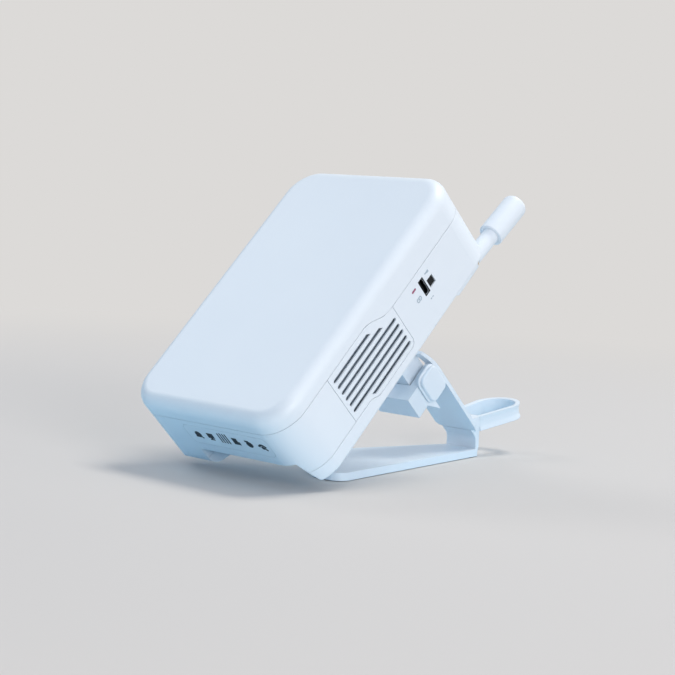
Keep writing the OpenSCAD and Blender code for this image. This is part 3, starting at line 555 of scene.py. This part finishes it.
class ExtenderStage(bpy.types.PropertyGroup):
    """Floor, backdrop, light and lens."""
    floor_colour: bpy.props.FloatVectorProperty(
        name="Floor colour", description="Colour of the floor", subtype="COLOR",
        size=4, min=0, max=1, default=linear("#D0CCC9"))
    bounce_colour: bpy.props.FloatVectorProperty(
        name="Bounce colour", description="Colour that the floor throws back on the object",
        subtype="COLOR", size=4, min=0, max=1, default=linear("#AEDBEF"))
    backdrop_colour: bpy.props.FloatVectorProperty(
        name="Backdrop colour", description="Shade of the backdrop as the eye sees it",
        subtype="COLOR", size=4, min=0, max=1, default=linear("#DCDAD8"))
    key_power: bpy.props.FloatProperty(
        name="Key light", description="Power of the key light", unit="POWER", min=0, default=28.0)
    fill_power: bpy.props.FloatProperty(
        name="Fill light", description="Power of the fill light", unit="POWER", min=0, default=23.0)
    side_power: bpy.props.FloatProperty(
        name="Side light", description="Power of the weak light from the left", unit="POWER",
        min=0, default=6.5)
    sky: bpy.props.FloatProperty(
        name="Sky", description="Strength of the light from all round", min=0, max=2, default=0.63)
    lens: bpy.props.FloatProperty(
        name="Lens", description="Focal length of the camera, in millimetres",
        min=20, max=300, default=98.76)


# Makers

class EXTENDER_OT_mouldings(bpy.types.Operator):
    """Gives the housing, the stand and the antenna their moulded skin"""
    bl_idname = "extender.mouldings"
    bl_label = "Finish the mouldings"

    def execute(self, context):
        look = context.scene.extender_finish
        skin = look.grain, look.edge
        housing = look.housing_colour, look.housing_shade
        stand = look.stand_colour, look.stand_shade
        dress({
            "housing_white": moulded_abs("moulded_abs_housing", *housing, *skin, look.gloss),
            "stand_white": moulded_abs("moulded_abs_stand", *stand, *skin, look.gloss),
            # Screen-printed film over the light windows: smoother than the skin round it
            "indicator_inlay": moulded_abs("polycarbonate_inlay", *housing, *skin, 0.34),
        })
        return {"FINISHED"}


class EXTENDER_OT_trim(bpy.types.Operator):
    """Gives the gauze, the ports, the rubber and the fasteners their finishes"""
    bl_idname = "extender.trim"
    bl_label = "Finish the trim"

    def execute(self, context):
        dress({
            "dust_gauze": woven_gauze("gauze_weave_and_painted_shade"),
            # Tinted acrylic: a dull red window that glows a little
            "status_lens": tinted_lens("acrylic_status_lens", "#7E4F68", "#A8607C"),
            # Nickel-plated steel shell, drawn, coloured near-black as painted shade of the port's
            # deep mouth: soft streaks along the way the plug goes in
            "port_steel": brushed_metal("nickel_steel_painted_shade", "#24272B", "#33373C", 0.45, "x"),
            # Black acetal: almost black, faintly speckled, with a soft sheen
            "button_black": speckled(
                "moulded_black_acetal", "#0B0E12", "#12161B", 0.4, 0.5, ior=1.35),
            # Turned brass: warm, with fine streaks
            "contact_brass": brushed_metal("turned_brass", "#C39A48", "#D8B365", 0.28, "x"),
            # Zinc-plated steel: cool grey with a pale bloom 2 mm across
            "screw_steel": speckled("zinc_plated_steel", "#A9AFB6", "#C4C9CE", 2.0, 0.3, 1.0),
            # Nylon: milky, matt
            "washer_nylon": speckled("moulded_nylon", "#C9CDCF", "#D6D9DB", 1.0, 0.55),
            # Thermoplastic rubber: dull, pebbled 0.8 mm across
            "sole_rubber": speckled(
                "pebbled_rubber", "#4A4F55", "#585E65", 0.8, 0.85, bump=0.8, depth=0.15),
            # Vinyl jacket: soft black
            "lead_rubber": speckled("lead_jacket_vinyl", "#1B1D20", "#26292D", 0.6, 0.5),
        })
        return {"FINISHED"}


class EXTENDER_OT_insides(bpy.types.Operator):
    """Gives the boards and what stands on them their finishes"""
    bl_idname = "extender.insides"
    bl_label = "Finish the insides"

    def execute(self, context):
        dress({
            "circuit_board": solder_mask("green_solder_mask"),
            # Moulded epoxy: charcoal, with a fine blasted top
            "chip_black": speckled("moulded_epoxy", "#1A1B1D", "#242628", 0.3, 0.6),
            # Filled silicone: chalky blue-grey, dull
            "thermal_rubber": speckled("filled_silicone", "#8E9AA5", "#9BA7B1", 0.7, 0.9),
            # Extruded aluminium: pale, with die lines along the fins
            "sink_aluminium": brushed_metal("extruded_aluminium", "#B9BDC1", "#CDD1D4", 0.32, "z"),
            # Tin-plated steel: bright grey, rolled
            "tinned_steel": brushed_metal("tin_plated_steel", "#B4B8BC", "#C8CCCF", 0.22, "z"),
            # Clear acrylic: pale and glossy
            "clear_guide": tinted_lens("acrylic_light_guide", "#B9C6D2", "#DCE7F0"),
            # Black lamp bodies: matt, faintly speckled
            "lamp_black": speckled("black_lamp_body", "#191B1E", "#23262A", 0.4, 0.5),
        })
        return {"FINISHED"}


def bar(start, end, wide):
    """A straight stroke of a printed mark: its path, its width, and that the path stays open."""
    return [start, end], wide, False


class EXTENDER_OT_indicator_marks(bpy.types.Operator):
    """Prints six plain marks on the indicator panel, one before each light"""
    bl_idname = "extender.indicator_marks"
    bl_label = "Indicator marks"

    def execute(self, context):
        ink = context.scene.extender_detail.mark_height / MM
        # Each mark is a set of strokes: path, width, and whether the path closes
        marks = [
            [(arc((0, 0), 1.15, 0, 348, 30), 2.2, True),
             bar((1.2, 1.2), (2.5, 2.5), 1.1), bar((-2.5, 1.6), (-1.0, 1.6), 1.1)],
            [bar((-2.2, -0.6), (2.2, -0.6), 3.6), bar((0, 1.0), (0, 1.9), 1.4),
             bar((-1.6, 2.2), (1.6, 2.2), 0.9)],
            [bar((a, 3.0), (a, 3.0 - high), 0.85)
             for a, high in ((-2.3, 6.8), (-0.45, 7.2), (1.4, 7.2), (3.25, 7.2))],
            [bar((-2.3, -1.1), (1.2, -1.1), 2.6), bar((-2.3, 1.2), (2.3, 1.2), 2.2)],
            [(arc((0.2, 0.3), 1.1, 0, 348, 24), 2.1, True), bar((-2.2, -1.8), (0.6, -1.8), 1.2)],
            [(arc((0, 0.9), 0.6, 0, 330, 12), 1.1, True),
             (arc((0, 1.4), 2.5, 200, 340), 1.3, False), bar((0.8, 1.0), (2.6, 2.4), 1.2)],
        ]
        shells = []
        for k, strokes in enumerate(marks):
            for path, wide, closed in strokes:
                a, b, h = ribbon(path, wide, ink, closed)
                points = in_housing(LAMP_FIRST + k * LAMP_PITCH + a, PANEL_V - MARK_AHEAD + b, -h)
                shells.append(shell(points, closed))
        # Screen ink: near-black blue, faintly grained
        speckled("screen_ink_navy", "#0F2836", "#152F3D", 0.5, 0.55)
        make_piece("indicator_marks", shells, "screen_ink_navy", "housing")
        return {"FINISHED"}


class EXTENDER_OT_port_marks(bpy.types.Operator):
    """Prints small grey marks round the port, frames its mouth in black as painted shade and sets
    contacts on its tongue
    """
    bl_idname = "extender.port_marks"
    bl_label = "Port marks and contacts"

    def execute(self, context):
        size = context.scene.extender_detail
        ink = size.mark_height / MM
        # Each mark's place from the port, by depth and length, and its strokes
        marks = [
            (-4.4, 5.8, [bar((0, -1.6), (0, -0.3), 0.8), bar((0.2, -0.1), (0.2, 1.6), 1.3)]),
            (2.3, -6.6, [(rounded_ring(1.9, 3.4, 0.7), 0.55, True), bar((0, -0.7), (0, 0.8), 0.7)]),
            (8.4, 0.8, [bar((0, -1.3), (0, -0.2), 0.6), bar((0, 0.3), (0, 1.3), 0.6)]),
        ]
        shells = []
        for v, u, strokes in marks:
            for path, wide, closed in strokes:
                a, b, h = ribbon(path, wide, ink, closed)
                points = in_housing(SIDE_X + h, PORT_V + v + a, PORT_U + u + b)
                shells.append(shell(points, closed))
        # Pad-printed grey ink: soft, low contrast
        speckled("pad_ink_grey", "#9AACBA", "#A6B6C3", 0.5, 0.6)
        make_piece("port_marks", shells, "pad_ink_grey", "housing")

        # Black frame round the mouth, painted shade that squares and widens the dark opening: an
        # outer ring with tight corners, an inner with round ends
        outer, mouth = rounded_ring(*SHADE_FRAME_OUTER), rounded_ring(*SHADE_FRAME_MOUTH)
        a, b = np.stack([outer, outer, mouth, mouth]).transpose(2, 0, 1)
        h = np.array([SHADE_FRAME_BACK, SHADE_FRAME_FACE, SHADE_FRAME_FACE, SHADE_FRAME_BACK])[:, None]
        shade_frame = shell(in_housing(SIDE_X + h, PORT_V + a, PORT_U + b), True)
        make_piece("port_mouth_painted_shade", [shade_frame], "moulded_black_acetal", "housing")

        profile = [(0.0, 0.0)] + quarter(CONTACT_EDGE, CONTACT_H, CONTACT_EDGE, 3)
        a, b, h = stack(CONTACT_WIDE, CONTACT_LONG, CONTACT_CORNER, profile, 3)
        fingers = []
        for k in range(size.contacts):
            v = PORT_V + (k - (size.contacts - 1) / 2) * CONTACT_PITCH
            for side in (-1, 1):
                fingers.append(shell(in_housing(
                    TONGUE_END - CONTACT_BACK + b, v + a, PORT_U + side * (TONGUE_HALF + h))))
        # Gold flash over nickel: warm and bright
        speckled("gold_flash", "#D9B45A", "#E6C577", 0.6, 0.25, 1.0)
        make_piece("port_contacts", fingers, "gold_flash", "housing")
        return {"FINISHED"}


class EXTENDER_OT_button_cap(bpy.types.Operator):
    """Makes the square button's cap with soft edges and a shallow dish, on its keeping flange"""
    bl_idname = "extender.button_cap"
    bl_label = "Button cap"

    def execute(self, context):
        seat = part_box("mode_button")[0].x / MM
        face = BUTTON_FACE - seat - FLANGE_THICK
        cap = [(0.0, 0.0)] + quarter(BUTTON_EDGE, face, BUTTON_EDGE)
        cap += [(inset, face - deep) for inset, deep in BUTTON_DISH]
        a, b, h = stack(BUTTON_SIDE, BUTTON_SIDE, BUTTON_CORNER, cap)
        shells = [shell(in_housing(seat + FLANGE_THICK + h, BUTTON_V + a, BUTTON_U + b))]
        side = BUTTON_SIDE + FLANGE_OVER
        a, b, h = stack(side, side, BUTTON_EDGE, [(0.0, 0.0), (0.0, FLANGE_THICK)])
        shells.append(shell(in_housing(seat + h, BUTTON_V + a, BUTTON_U + b)))
        make_piece("button_cap", shells, "moulded_black_acetal", "button", ("mode_button",))
        return {"FINISHED"}


class EXTENDER_OT_knob(bpy.types.Operator):
    """Makes the clamp knob: a stepped round-cornered cap with soft edges and a full face"""
    bl_idname = "extender.knob"
    bl_label = "Clamp knob"

    def execute(self, context):
        edge = context.scene.extender_detail.knob_edge / MM
        top, rim = KNOB_STEP + KNOB_CAP, KNOB_LEDGE + edge
        foot = np.radians(np.linspace(0, 90, 4))
        profile = [(KNOB_FOOT_R - KNOB_FOOT_R * math.sin(t),
                    KNOB_FOOT_R - KNOB_FOOT_R * math.cos(t)) for t in foot]
        profile += quarter(KNOB_LIP_R, KNOB_STEP, KNOB_LIP_R)
        profile += quarter(KNOB_LEDGE + KNOB_NOOK, KNOB_STEP + KNOB_NOOK_R, KNOB_NOOK_R)
        profile += quarter(rim, top - KNOB_CROWN, edge, 7)
        # The face swells by a parabola towards its middle
        for s in (0.15, 0.35, 0.6, 0.85):
            inset = rim + s * (KNOB_SHORT / 2 - edge - KNOB_FLAT)
            profile.append((inset, top - KNOB_CROWN * (1 - s) ** 2))
        long, short = KNOB_LONG + 2 * KNOB_LEDGE, KNOB_SHORT + 2 * KNOB_LEDGE
        a, b, h = stack(long, short, KNOB_R, profile, 12)
        make_piece("knob_cap", [shell(in_yoke(KNOB_SEAT + h, a, b))], "moulded_abs_stand", "knob",
                   ("clamp_knob",), sharp=60)
        return {"FINISHED"}


class EXTENDER_OT_bracket_screws(bpy.types.Operator):
    """Makes the bracket's four screws: domed heads with a cross recess, on plain shanks"""
    bl_idname = "extender.bracket_screws"
    bl_label = "Bracket screws"

    def execute(self, context):
        deep = context.scene.extender_detail.recess / MM
        steps = 96
        turn = np.linspace(0, TURN, steps, endpoint=False)
        reach = np.linspace(1, 0.04, 26)[:, None] * HEAD_R
        p, q = reach * np.cos(turn), reach * np.sin(turn)
        near, far = np.minimum(abs(p), abs(q)), np.maximum(abs(p), abs(q))
        # Cross of two arms that get shallower towards their ends, sunk by a smooth step
        arm = np.clip((ARM_HALF - near) / ARM_WALL, 0, 1)
        arm *= np.clip((ARM_LONG - far) / ARM_RAMP, 0, 1)
        dome = HEAD_H * (1 - HEAD_FALL * (reach / HEAD_R) ** 3)
        face = dome - deep * arm * arm * (3 - 2 * arm)
        side = lathe([(SHANK_R, SCREW_TIP - SCREW_SEAT), (SHANK_R, 0.0),
                      (HEAD_R - HEAD_EDGE, 0.0), (HEAD_R, HEAD_EDGE)], steps)
        a, b, h = [np.vstack(pair) for pair in zip(side, (p, q, face))]
        half = SCREW_PITCH / 2
        shells = [shell(in_housing(x * half + a, SCREW_SEAT + h, AXIS_U + u * half + b))
                  for x in (-1, 1) for u in (-1, 1)]
        make_piece("bracket_screw_set", shells, "zinc_plated_steel", "housing", ("bracket_screws",))
        return {"FINISHED"}


class EXTENDER_OT_antenna(bpy.types.Operator):
    """Turns the antenna's neck and its sleeve: plain tubes with soft edges and a round tip"""
    bl_idname = "extender.antenna"
    bl_label = "Antenna"

    def execute(self, context):
        neck = [(LEAST_R, NECK_BORE_DEEP), (NECK_BORE, NECK_BORE_DEEP), (NECK_BORE, 0.0),
                (NECK_R - NECK_EDGE, 0.0), (NECK_R, NECK_EDGE), (NECK_R, NECK_LONG),
                (LEAST_R, NECK_LONG)]
        sleeve = np.vstack([
            [(LEAST_R, SLEEVE_BORE_DEEP), (SLEEVE_BORE, SLEEVE_BORE_DEEP), (SLEEVE_BORE, 0.0)],
            arc((SLEEVE_R - SLEEVE_EDGE, SLEEVE_EDGE), SLEEVE_EDGE, -90, 0, 6),
            arc((SLEEVE_R - SLEEVE_TIP, SLEEVE_LONG - SLEEVE_TIP), SLEEVE_TIP, 0, 90, 14),
            [(LEAST_R, SLEEVE_LONG)]])
        for name, profile, low in (("neck", neck, 0.0), ("sleeve", sleeve, SLEEVE_LOW)):
            a, b, h = lathe(profile, 64)
            make_piece(name, [shell(in_antenna(a, b, low + h))], "moulded_abs_housing", "antenna",
                       ("antenna_" + name,))
        return {"FINISHED"}


def unstep(share):
    """The t from 0 to 1 where a smooth step, 3 t squared less 2 t cubed, has risen by a share."""
    return 0.5 - np.sin(np.arcsin(1 - 2 * np.clip(share, 0, 1)) / 3)


def vent_top(v, inset):
    """Upper edge of a vent panel: up the smooth front step, along its top, round its corner."""
    step = STEP_FRONT_LOW + STEP_FRONT_RISE * unstep((v - inset) / STEP_FRONT)
    corner = VENT_REAR - inset
    top = np.interp(v, [corner - VENT_CORNER, corner - VENT_CORNER_CUT, corner],
                    VENT_HIGH - inset - np.array([0, VENT_CORNER_CUT, VENT_CORNER]))
    return np.where(v < STEP_FRONT + inset, step, top)


def vent_foot(v, inset):
    """Lower edge of a vent panel: along its foot and up the smooth rear step."""
    rise = unstep((v + inset - STEP_REAR) / (VENT_REAR - STEP_REAR))
    return np.where(v < STEP_REAR - inset, VENT_LOW + inset, STEP_REAR_LOW + STEP_REAR_RISE * rise)


def vent_columns(inset, *more):
    """Depths at which a vent panel's edge, drawn in by inset, bends or jumps, and any more."""
    rear = STEP_REAR - inset
    return np.unique(np.concatenate([
        np.linspace(inset, STEP_FRONT + inset, 9), [rear - 0.001],
        np.linspace(rear, VENT_REAR - inset, 6), *more]).round(4))


def vent_plate(v, inset, foot, top, is_open, back, front):
    """A vent panel's outline drawn in by inset, open from foot to top where is_open says so."""
    low, high = vent_foot(v, inset), vent_top(v, inset)
    rows = np.stack([low, np.maximum(foot, low + BORDER), np.minimum(top, high - BORDER), high])
    solid = np.ones((3, len(v) - 1), bool)
    solid[1] = ~is_open((v[:-1] + v[1:]) / 2)
    return pierced_plate(v, rows, solid, SIDE_X - back, SIDE_X - front)


def vent_frame(outer, inner, back, front):
    """What lies between a vent panel's outline at two insets, from one depth to another."""
    v = vent_columns(inner, [outer, VENT_REAR - outer],
                     np.linspace(STEP_FRONT + inner, STEP_REAR - inner, 4))
    return vent_plate(v, outer, vent_foot(v, inner), vent_top(v, inner),
                      lambda middle: (middle > inner) & (middle < VENT_REAR - inner), back, front)


def slot_ends(v, half):
    """Depths across the slot at v, with its foot and top: round, or slanted near a step."""
    spread = np.linspace(-1, 1, 9)
    bow, slant = half * np.sqrt(1 - spread ** 2), SLOT_SLANT * half * spread
    foot, top = VENT_LOW + SLOT_FOOT + half - bow, VENT_HIGH - SLOT_TOP - half + bow
    if v > STEP_REAR - STEP_REACH:
        foot = STEP_REAR_LOW + SLANT_LIFT + slant
    if v < STEP_FRONT + STEP_REACH:
        rise = STEP_FRONT_RISE * (v - SLANT_FROM) / SLANT_LONG
        top = STEP_FRONT_LOW + rise - SLANT_DROP + slant
    return v + half * spread, foot, top


class EXTENDER_OT_vents(bpy.types.Operator):
    """Makes the slotted vent panels in the housing's sides, each with rim, flange and gauze"""
    bl_idname = "extender.vents"
    bl_label = "Vent panels"

    def execute(self, context):
        half = context.scene.extender_detail.slot_width / MM / 2
        slots = SLOT_FIRST + SLOT_PITCH * np.arange(SLOTS)
        places, feet, tops = np.concatenate([slot_ends(v, half) for v in slots], axis=1)
        v = vent_columns(SEAM, places)
        skin = vent_plate(v, SEAM, np.interp(v, places, feet), np.interp(v, places, tops),
                          lambda middle: abs(middle[:, None] - slots).min(1) < half, SKIN, 0.0)
        rim = vent_frame(SEAM, RIM_INSET, RIM, SKIN)
        flange = vent_frame(-FLANGE_REACH, RIM_INSET, FLANGE, RIM)
        shells = [side for plate in (skin, rim, flange) for side in both_sides(*plate)]
        make_piece("vent_plates", shells, "moulded_abs_housing", "housing",
                   ("right_vent_panel", "left_vent_panel"))

        # Gauze: a whole sheet behind the slots, just inside the rim
        v = vent_columns(GAUZE_INSET)
        rows = np.stack([vent_foot(v, GAUZE_INSET), vent_top(v, GAUZE_INSET)])
        sheet = pierced_plate(v, rows, np.ones((1, len(v) - 1), bool),
                              SIDE_X - GAUZE_BACK, SIDE_X - GAUZE_FRONT)
        make_piece("gauze_sheets", both_sides(*sheet), "gauze_weave_and_painted_shade", "housing",
                   ("right_vent_gauze", "left_vent_gauze"))
        return {"FINISHED"}


class EXTENDER_OT_loop(bpy.types.Operator):
    """Carries a rimmed band round the stand's cable loop and webs it to the upright"""
    bl_idname = "extender.loop"
    bl_label = "Cable loop"

    def execute(self, context):
        high = context.scene.extender_detail.loop_height / MM
        # Path: in from the upright along one arm, round the rear end, and back along the other
        turn = np.radians(np.linspace(-LOOP_TAPER, 180 + LOOP_TAPER, 61))
        out = np.stack([np.cos(turn), np.sin(turn)], -1)
        path = out * LOOP_R
        lean = math.radians(LOOP_TAPER)
        reach = (LOOP_BACK + LOOP_SUNK) / math.cos(LOOP_TILT) - LOOP_R * math.sin(lean)
        ahead = np.array([-math.tan(lean), -1.0]) * reach
        steps = np.linspace(1, 0, 8, endpoint=False)[:, None]
        path = np.vstack([path[0] + ahead * steps, path, path[-1] + ahead * (-1, 1) * steps[::-1]])
        out = np.vstack([np.repeat(out[:1], 8, 0), out, np.repeat(out[-1:], 8, 0)])
        # Section: flat inside; outside a hollow between rims that swell by cosine to the fourth
        rise = np.linspace(0, 1, 21)
        swell = LOOP_WALL + LOOP_RIM * np.cos(math.pi * rise) ** 4
        across = np.concatenate([[LOOP_EDGE, 0.0, 0.0, LOOP_EDGE], swell[::-1]])
        down = np.concatenate([[0.0, LOOP_EDGE, high - LOOP_EDGE, high], rise[::-1] * high])
        rings = path[:, None] + out[:, None] * across[:, None]
        band = shell(in_loop(rings[..., 0], rings[..., 1], -np.broadcast_to(down, rings.shape[:2])))

        # Web behind the strap: a bowed top from the strap to the upright, as wide as the strap at
        # its start and as the upright at its end; below it a plain cover over the bend and upright
        bow = np.linspace(0, 1, 12)[:, None]
        rear, low = UPRIGHT_REAR + COVER_PROUD, BASE_TOP - COVER_LAP
        start, mid, end = np.array([WEB_START, WEB_BOW, (rear, WEB_END)])
        top = start * (1 - bow) ** 2 + 2 * mid * bow * (1 - bow) + end * bow ** 2
        web, web_faces = prism(np.vstack([top, [(rear, BROW), (WEB_FOOT, BROW)]]), -1, 1)
        narrow = UPRIGHT_HALF + WEB_OVER - STRAP_HALF
        web[:, 2] *= STRAP_HALF + (web[:, 0] - start[0]) / (rear - start[0]) * narrow
        cover, cover_faces = prism(np.vstack([
            [(rear, BROW + COVER_LAP), (rear, low), (COVER_FRONT, low)],
            arc(BEND_AT, BEND_R, 0, BEND_TURN, 10), [COVER_TOP]]), -UPRIGHT_HALF, UPRIGHT_HALF)
        web = outward(MM * web[:, [2, 0, 1]], web_faces)
        cover = outward(MM * cover[:, [2, 0, 1]], cover_faces)
        make_piece("loop_band", [band, web, cover], "moulded_abs_stand", "stand", ("cable_loop",))
        return {"FINISHED"}


def base_outline(inset):
    """Plan of the base: a tongue that narrows to the upright, its front left cut by a circle.

    The circle's place is fixed, and it meets the left side where the line from the rear corner
    first comes within its radius.
    """
    taper = math.atan((BASE_HALF - BASE_REAR_HALF) / (UPRIGHT_REAR + BASE_FRONT))
    lean = math.degrees(taper)
    front = np.array([BASE_HALF - BASE_R, BASE_R - BASE_FRONT])
    rear = np.array([BASE_REAR_HALF - BASE_REAR_IN, UPRIGHT_REAR - BASE_REAR_IN])
    rear = rear - (0, max(inset - (BASE_REAR_R - BASE_LEAST_R), 0))
    front_r, rear_r = BASE_R - inset, max(BASE_REAR_R - inset, BASE_LEAST_R)
    right = np.vstack([arc(front, front_r, -90, lean, 12), arc(rear, rear_r, lean, 90, 6)])
    left = arc(rear * (-1, 1), rear_r, 90, 180 - lean, 6)
    centre, radius = np.array([SWEEP_X, -BASE_FRONT - SWEEP_AHEAD]), SWEEP_R + inset
    start = left[-1]
    end = front * (-1, 1) + front_r * np.array([-math.cos(taper), math.sin(taper)])
    along, off = end - start, start - centre
    a, b, c = along @ along, off @ along, off @ off - radius ** 2
    meet = start + along * (-b - math.sqrt(b * b - a * c)) / a
    first = math.degrees(math.atan2(*(meet - centre)[::-1]))
    last = math.degrees(math.asin((SWEEP_AHEAD + inset) / radius))
    return np.vstack([right, left, arc(centre, radius, first, last, 40)])


class EXTENDER_OT_base(bpy.types.Operator):
    """Makes the base plate with its swept front and the rubber pad under it"""
    bl_idname = "extender.base"
    bl_label = "Base plate and pad"

    def execute(self, context):
        points, faces = prism(base_outline(0.0), BASE_LOW, BASE_TOP)
        make_piece("base_plate", [(MM * points, faces)], "moulded_abs_stand", "stand",
                   ("stand_base",))
        points, faces = prism(base_outline(PAD_INSET), 0.0, PAD_TOP)
        make_piece("sole_pad", [(MM * points, faces)], "pebbled_rubber", "stand", ("base_pad",))
        return {"FINISHED"}


def painted_board(stage):
    """Matt painted board: an even warm grey, faintly clouded over half a metre.

    On the left it throws a cool light back on the object. Away from the object the eye sees the
    backdrop's plain shade, so that the floor runs into the backdrop without an edge.
    """
    paint, tree = new_finish("matt_painted_board")
    where = object_place(tree)
    grey = tuple(stage.floor_colour)
    dim = (*(0.98 * part for part in grey[:3]), 1)
    tone = blend(tree, noise(tree, where, 0.5, 1.0), dim, grey)
    across = add_node(tree, "ShaderNodeSeparateXYZ", {}, {0: where}).outputs["X"]
    right = smooth_rise(tree, across, BOUNCE_FROM, BOUNCE_TO)
    plain = join(tree, "MAXIMUM", looked_at(tree), right)
    matt = add_node(tree, "ShaderNodeBsdfPrincipled", {}, {
        "Base Color": blend(tree, plain, tuple(stage.bounce_colour), tone), "Roughness": 0.9})
    reach = add_node(tree, "ShaderNodeVectorMath", {"operation": "LENGTH"}, {0: where})
    fade = smooth_rise(tree, reach.outputs["Value"], FADE_FROM, FADE_TO)
    shade = add_node(tree, "ShaderNodeEmission", {}, {
        "Color": tuple(stage.backdrop_colour), "Strength": 1.0})
    both = add_node(tree, "ShaderNodeMixShader", {}, {
        0: join(tree, "MULTIPLY", looked_at(tree), fade), 1: matt.outputs[0], 2: shade.outputs[0]})
    add_node(tree, "ShaderNodeOutputMaterial", {}, {"Surface": both.outputs[0]})
    return paint


def lay_board(name, profile, paint):
    """An open turned surface of the stage, its profile in metres; the floor has no hole."""
    points = np.stack(lathe(profile, 128), -1)
    rows, cols = points.shape[:2]
    row, col = np.meshgrid(np.arange(rows - 1) * cols, np.arange(cols), indexing="ij")
    side = (col + 1) % cols
    quads = np.stack([row + col, row + cols + col, row + cols + side, row + side], -1)
    faces = quads.reshape(-1, 4).tolist()
    if name == "floor":
        faces.append(list(range(cols)))
    mesh = bpy.data.meshes.new(name)
    mesh.from_pydata(points.reshape(-1, 3).tolist(), [], faces)
    mesh.shade_smooth()
    mesh.materials.append(paint)
    board = bpy.data.objects.new(name, mesh)
    bpy.context.scene.collection.objects.link(board)
    return board


def hang_light(name, place, power, tint):
    """A square soft light that looks at the object."""
    lamp = bpy.data.lights.new(name, "AREA")
    lamp.energy = power
    lamp.size = LIGHT_SIZE
    lamp.color = linear(tint)[:3]
    holder = bpy.data.objects.new(name, lamp)
    holder.location = place
    holder.rotation_euler = (LIGHT_AIM - Vector(place)).to_track_quat("-Z", "Y").to_euler()
    bpy.context.scene.collection.objects.link(holder)


def even_sky(stage):
    """Even light from all round, and the backdrop's own grey where it is looked at."""
    world = bpy.data.worlds.new("sky")
    world.use_nodes = True
    tree = world.node_tree
    tree.nodes.clear()
    light, shown = [add_node(tree, "ShaderNodeBackground", {}, {"Color": colour, "Strength": power})
                    for colour, power in ((linear("#CCDCF0"), stage.sky),
                                          (tuple(stage.backdrop_colour), 1.0))]
    both = add_node(tree, "ShaderNodeMixShader", {}, {
        0: looked_at(tree), 1: light.outputs[0], 2: shown.outputs[0]})
    add_node(tree, "ShaderNodeOutputWorld", {}, {"Surface": both.outputs[0]})
    return world


class EXTENDER_OT_stage(bpy.types.Operator):
    """Sets the floor, the backdrop, the lights, the sky and the camera"""
    bl_idname = "extender.stage"
    bl_label = "Stage"

    def execute(self, context):
        scene, stage = context.scene, context.scene.extender_stage
        scene.view_settings.view_transform = "Standard"

        # A round floor that runs into a bowl: past the floor's edge it rises by a quarter ellipse
        paint = painted_board(stage)
        lay_board("floor", [(0.05, 0.0), (0.6, 0.0), (FLOOR_R, 0.0)], paint)
        bowl = [(FLOOR_R + BOWL_REACH * math.sin(t), BOWL_RISE * (1 - math.cos(t)))
                for t in np.radians(np.linspace(0, 90, 24))]
        backdrop = lay_board("backdrop", bowl, paint)
        backdrop.visible_diffuse = False
        backdrop.visible_shadow = False

        # Key from high behind the right side, a low fill on the right and a weak one on the left
        hang_light("key", (0.30, 0.85, 2.06), stage.key_power, "#FFFBF2")
        hang_light("fill", (2.05, -0.75, 0.6), stage.fill_power, "#FFF8F2")
        hang_light("side", (-1.65, -0.36, 1.48), stage.side_power, "#FFFDFA")
        scene.world = even_sky(stage)

        camera = bpy.data.cameras.new("camera")
        camera.lens = stage.lens
        camera.sensor_width = 36.0
        eye = bpy.data.objects.new("camera", camera)
        right = EYE_RIGHT.normalized()
        ahead = (EYE_AHEAD - right * EYE_AHEAD.dot(right)).normalized()
        turned = Matrix((right, right.cross(ahead), -ahead)).transposed().to_4x4()
        eye.matrix_world = Matrix.Translation(EYE_AT) @ turned
        scene.collection.objects.link(eye)
        scene.camera = eye
        return {"FINISHED"}


class EXTENDER_PT_panel(bpy.types.Panel):
    """Lists the makers and what may be changed"""
    bl_idname = "EXTENDER_PT_panel"
    bl_label = "Range extender"
    bl_space_type = "VIEW_3D"
    bl_region_type = "UI"
    bl_category = "Extender"

    def draw(self, context):
        for group in GROUPS:
            box = self.layout.box()
            settings = getattr(context.scene, group)
            for key in type(settings).__annotations__:
                box.prop(settings, key)
        for maker in MAKERS:
            self.layout.operator(maker.bl_idname)


GROUPS = {"extender_finish": ExtenderFinish, "extender_detail": ExtenderDetail,
          "extender_stage": ExtenderStage}
MAKERS = (EXTENDER_OT_stage, EXTENDER_OT_mouldings, EXTENDER_OT_trim, EXTENDER_OT_insides,
          EXTENDER_OT_indicator_marks, EXTENDER_OT_port_marks, EXTENDER_OT_button_cap,
          EXTENDER_OT_knob, EXTENDER_OT_bracket_screws, EXTENDER_OT_antenna, EXTENDER_OT_vents,
          EXTENDER_OT_loop, EXTENDER_OT_base)


def register():
    """Registers the settings, the makers and the panel."""
    for name, group in GROUPS.items():
        bpy.utils.register_class(group)
        setattr(bpy.types.Scene, name, bpy.props.PointerProperty(type=group))
    for maker in MAKERS:
        bpy.utils.register_class(maker)
    bpy.utils.register_class(EXTENDER_PT_panel)


def unregister():
    """Takes them all away again."""
    bpy.utils.unregister_class(EXTENDER_PT_panel)
    for maker in reversed(MAKERS):
        bpy.utils.unregister_class(maker)
    for name, group in GROUPS.items():
        delattr(bpy.types.Scene, name)
        bpy.utils.unregister_class(group)


def main():
    """Registers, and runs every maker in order."""
    register()
    for maker in MAKERS:
        family, action = maker.bl_idname.split(".")
        getattr(getattr(bpy.ops, family), action)()


if __name__ == "__main__":
    main()
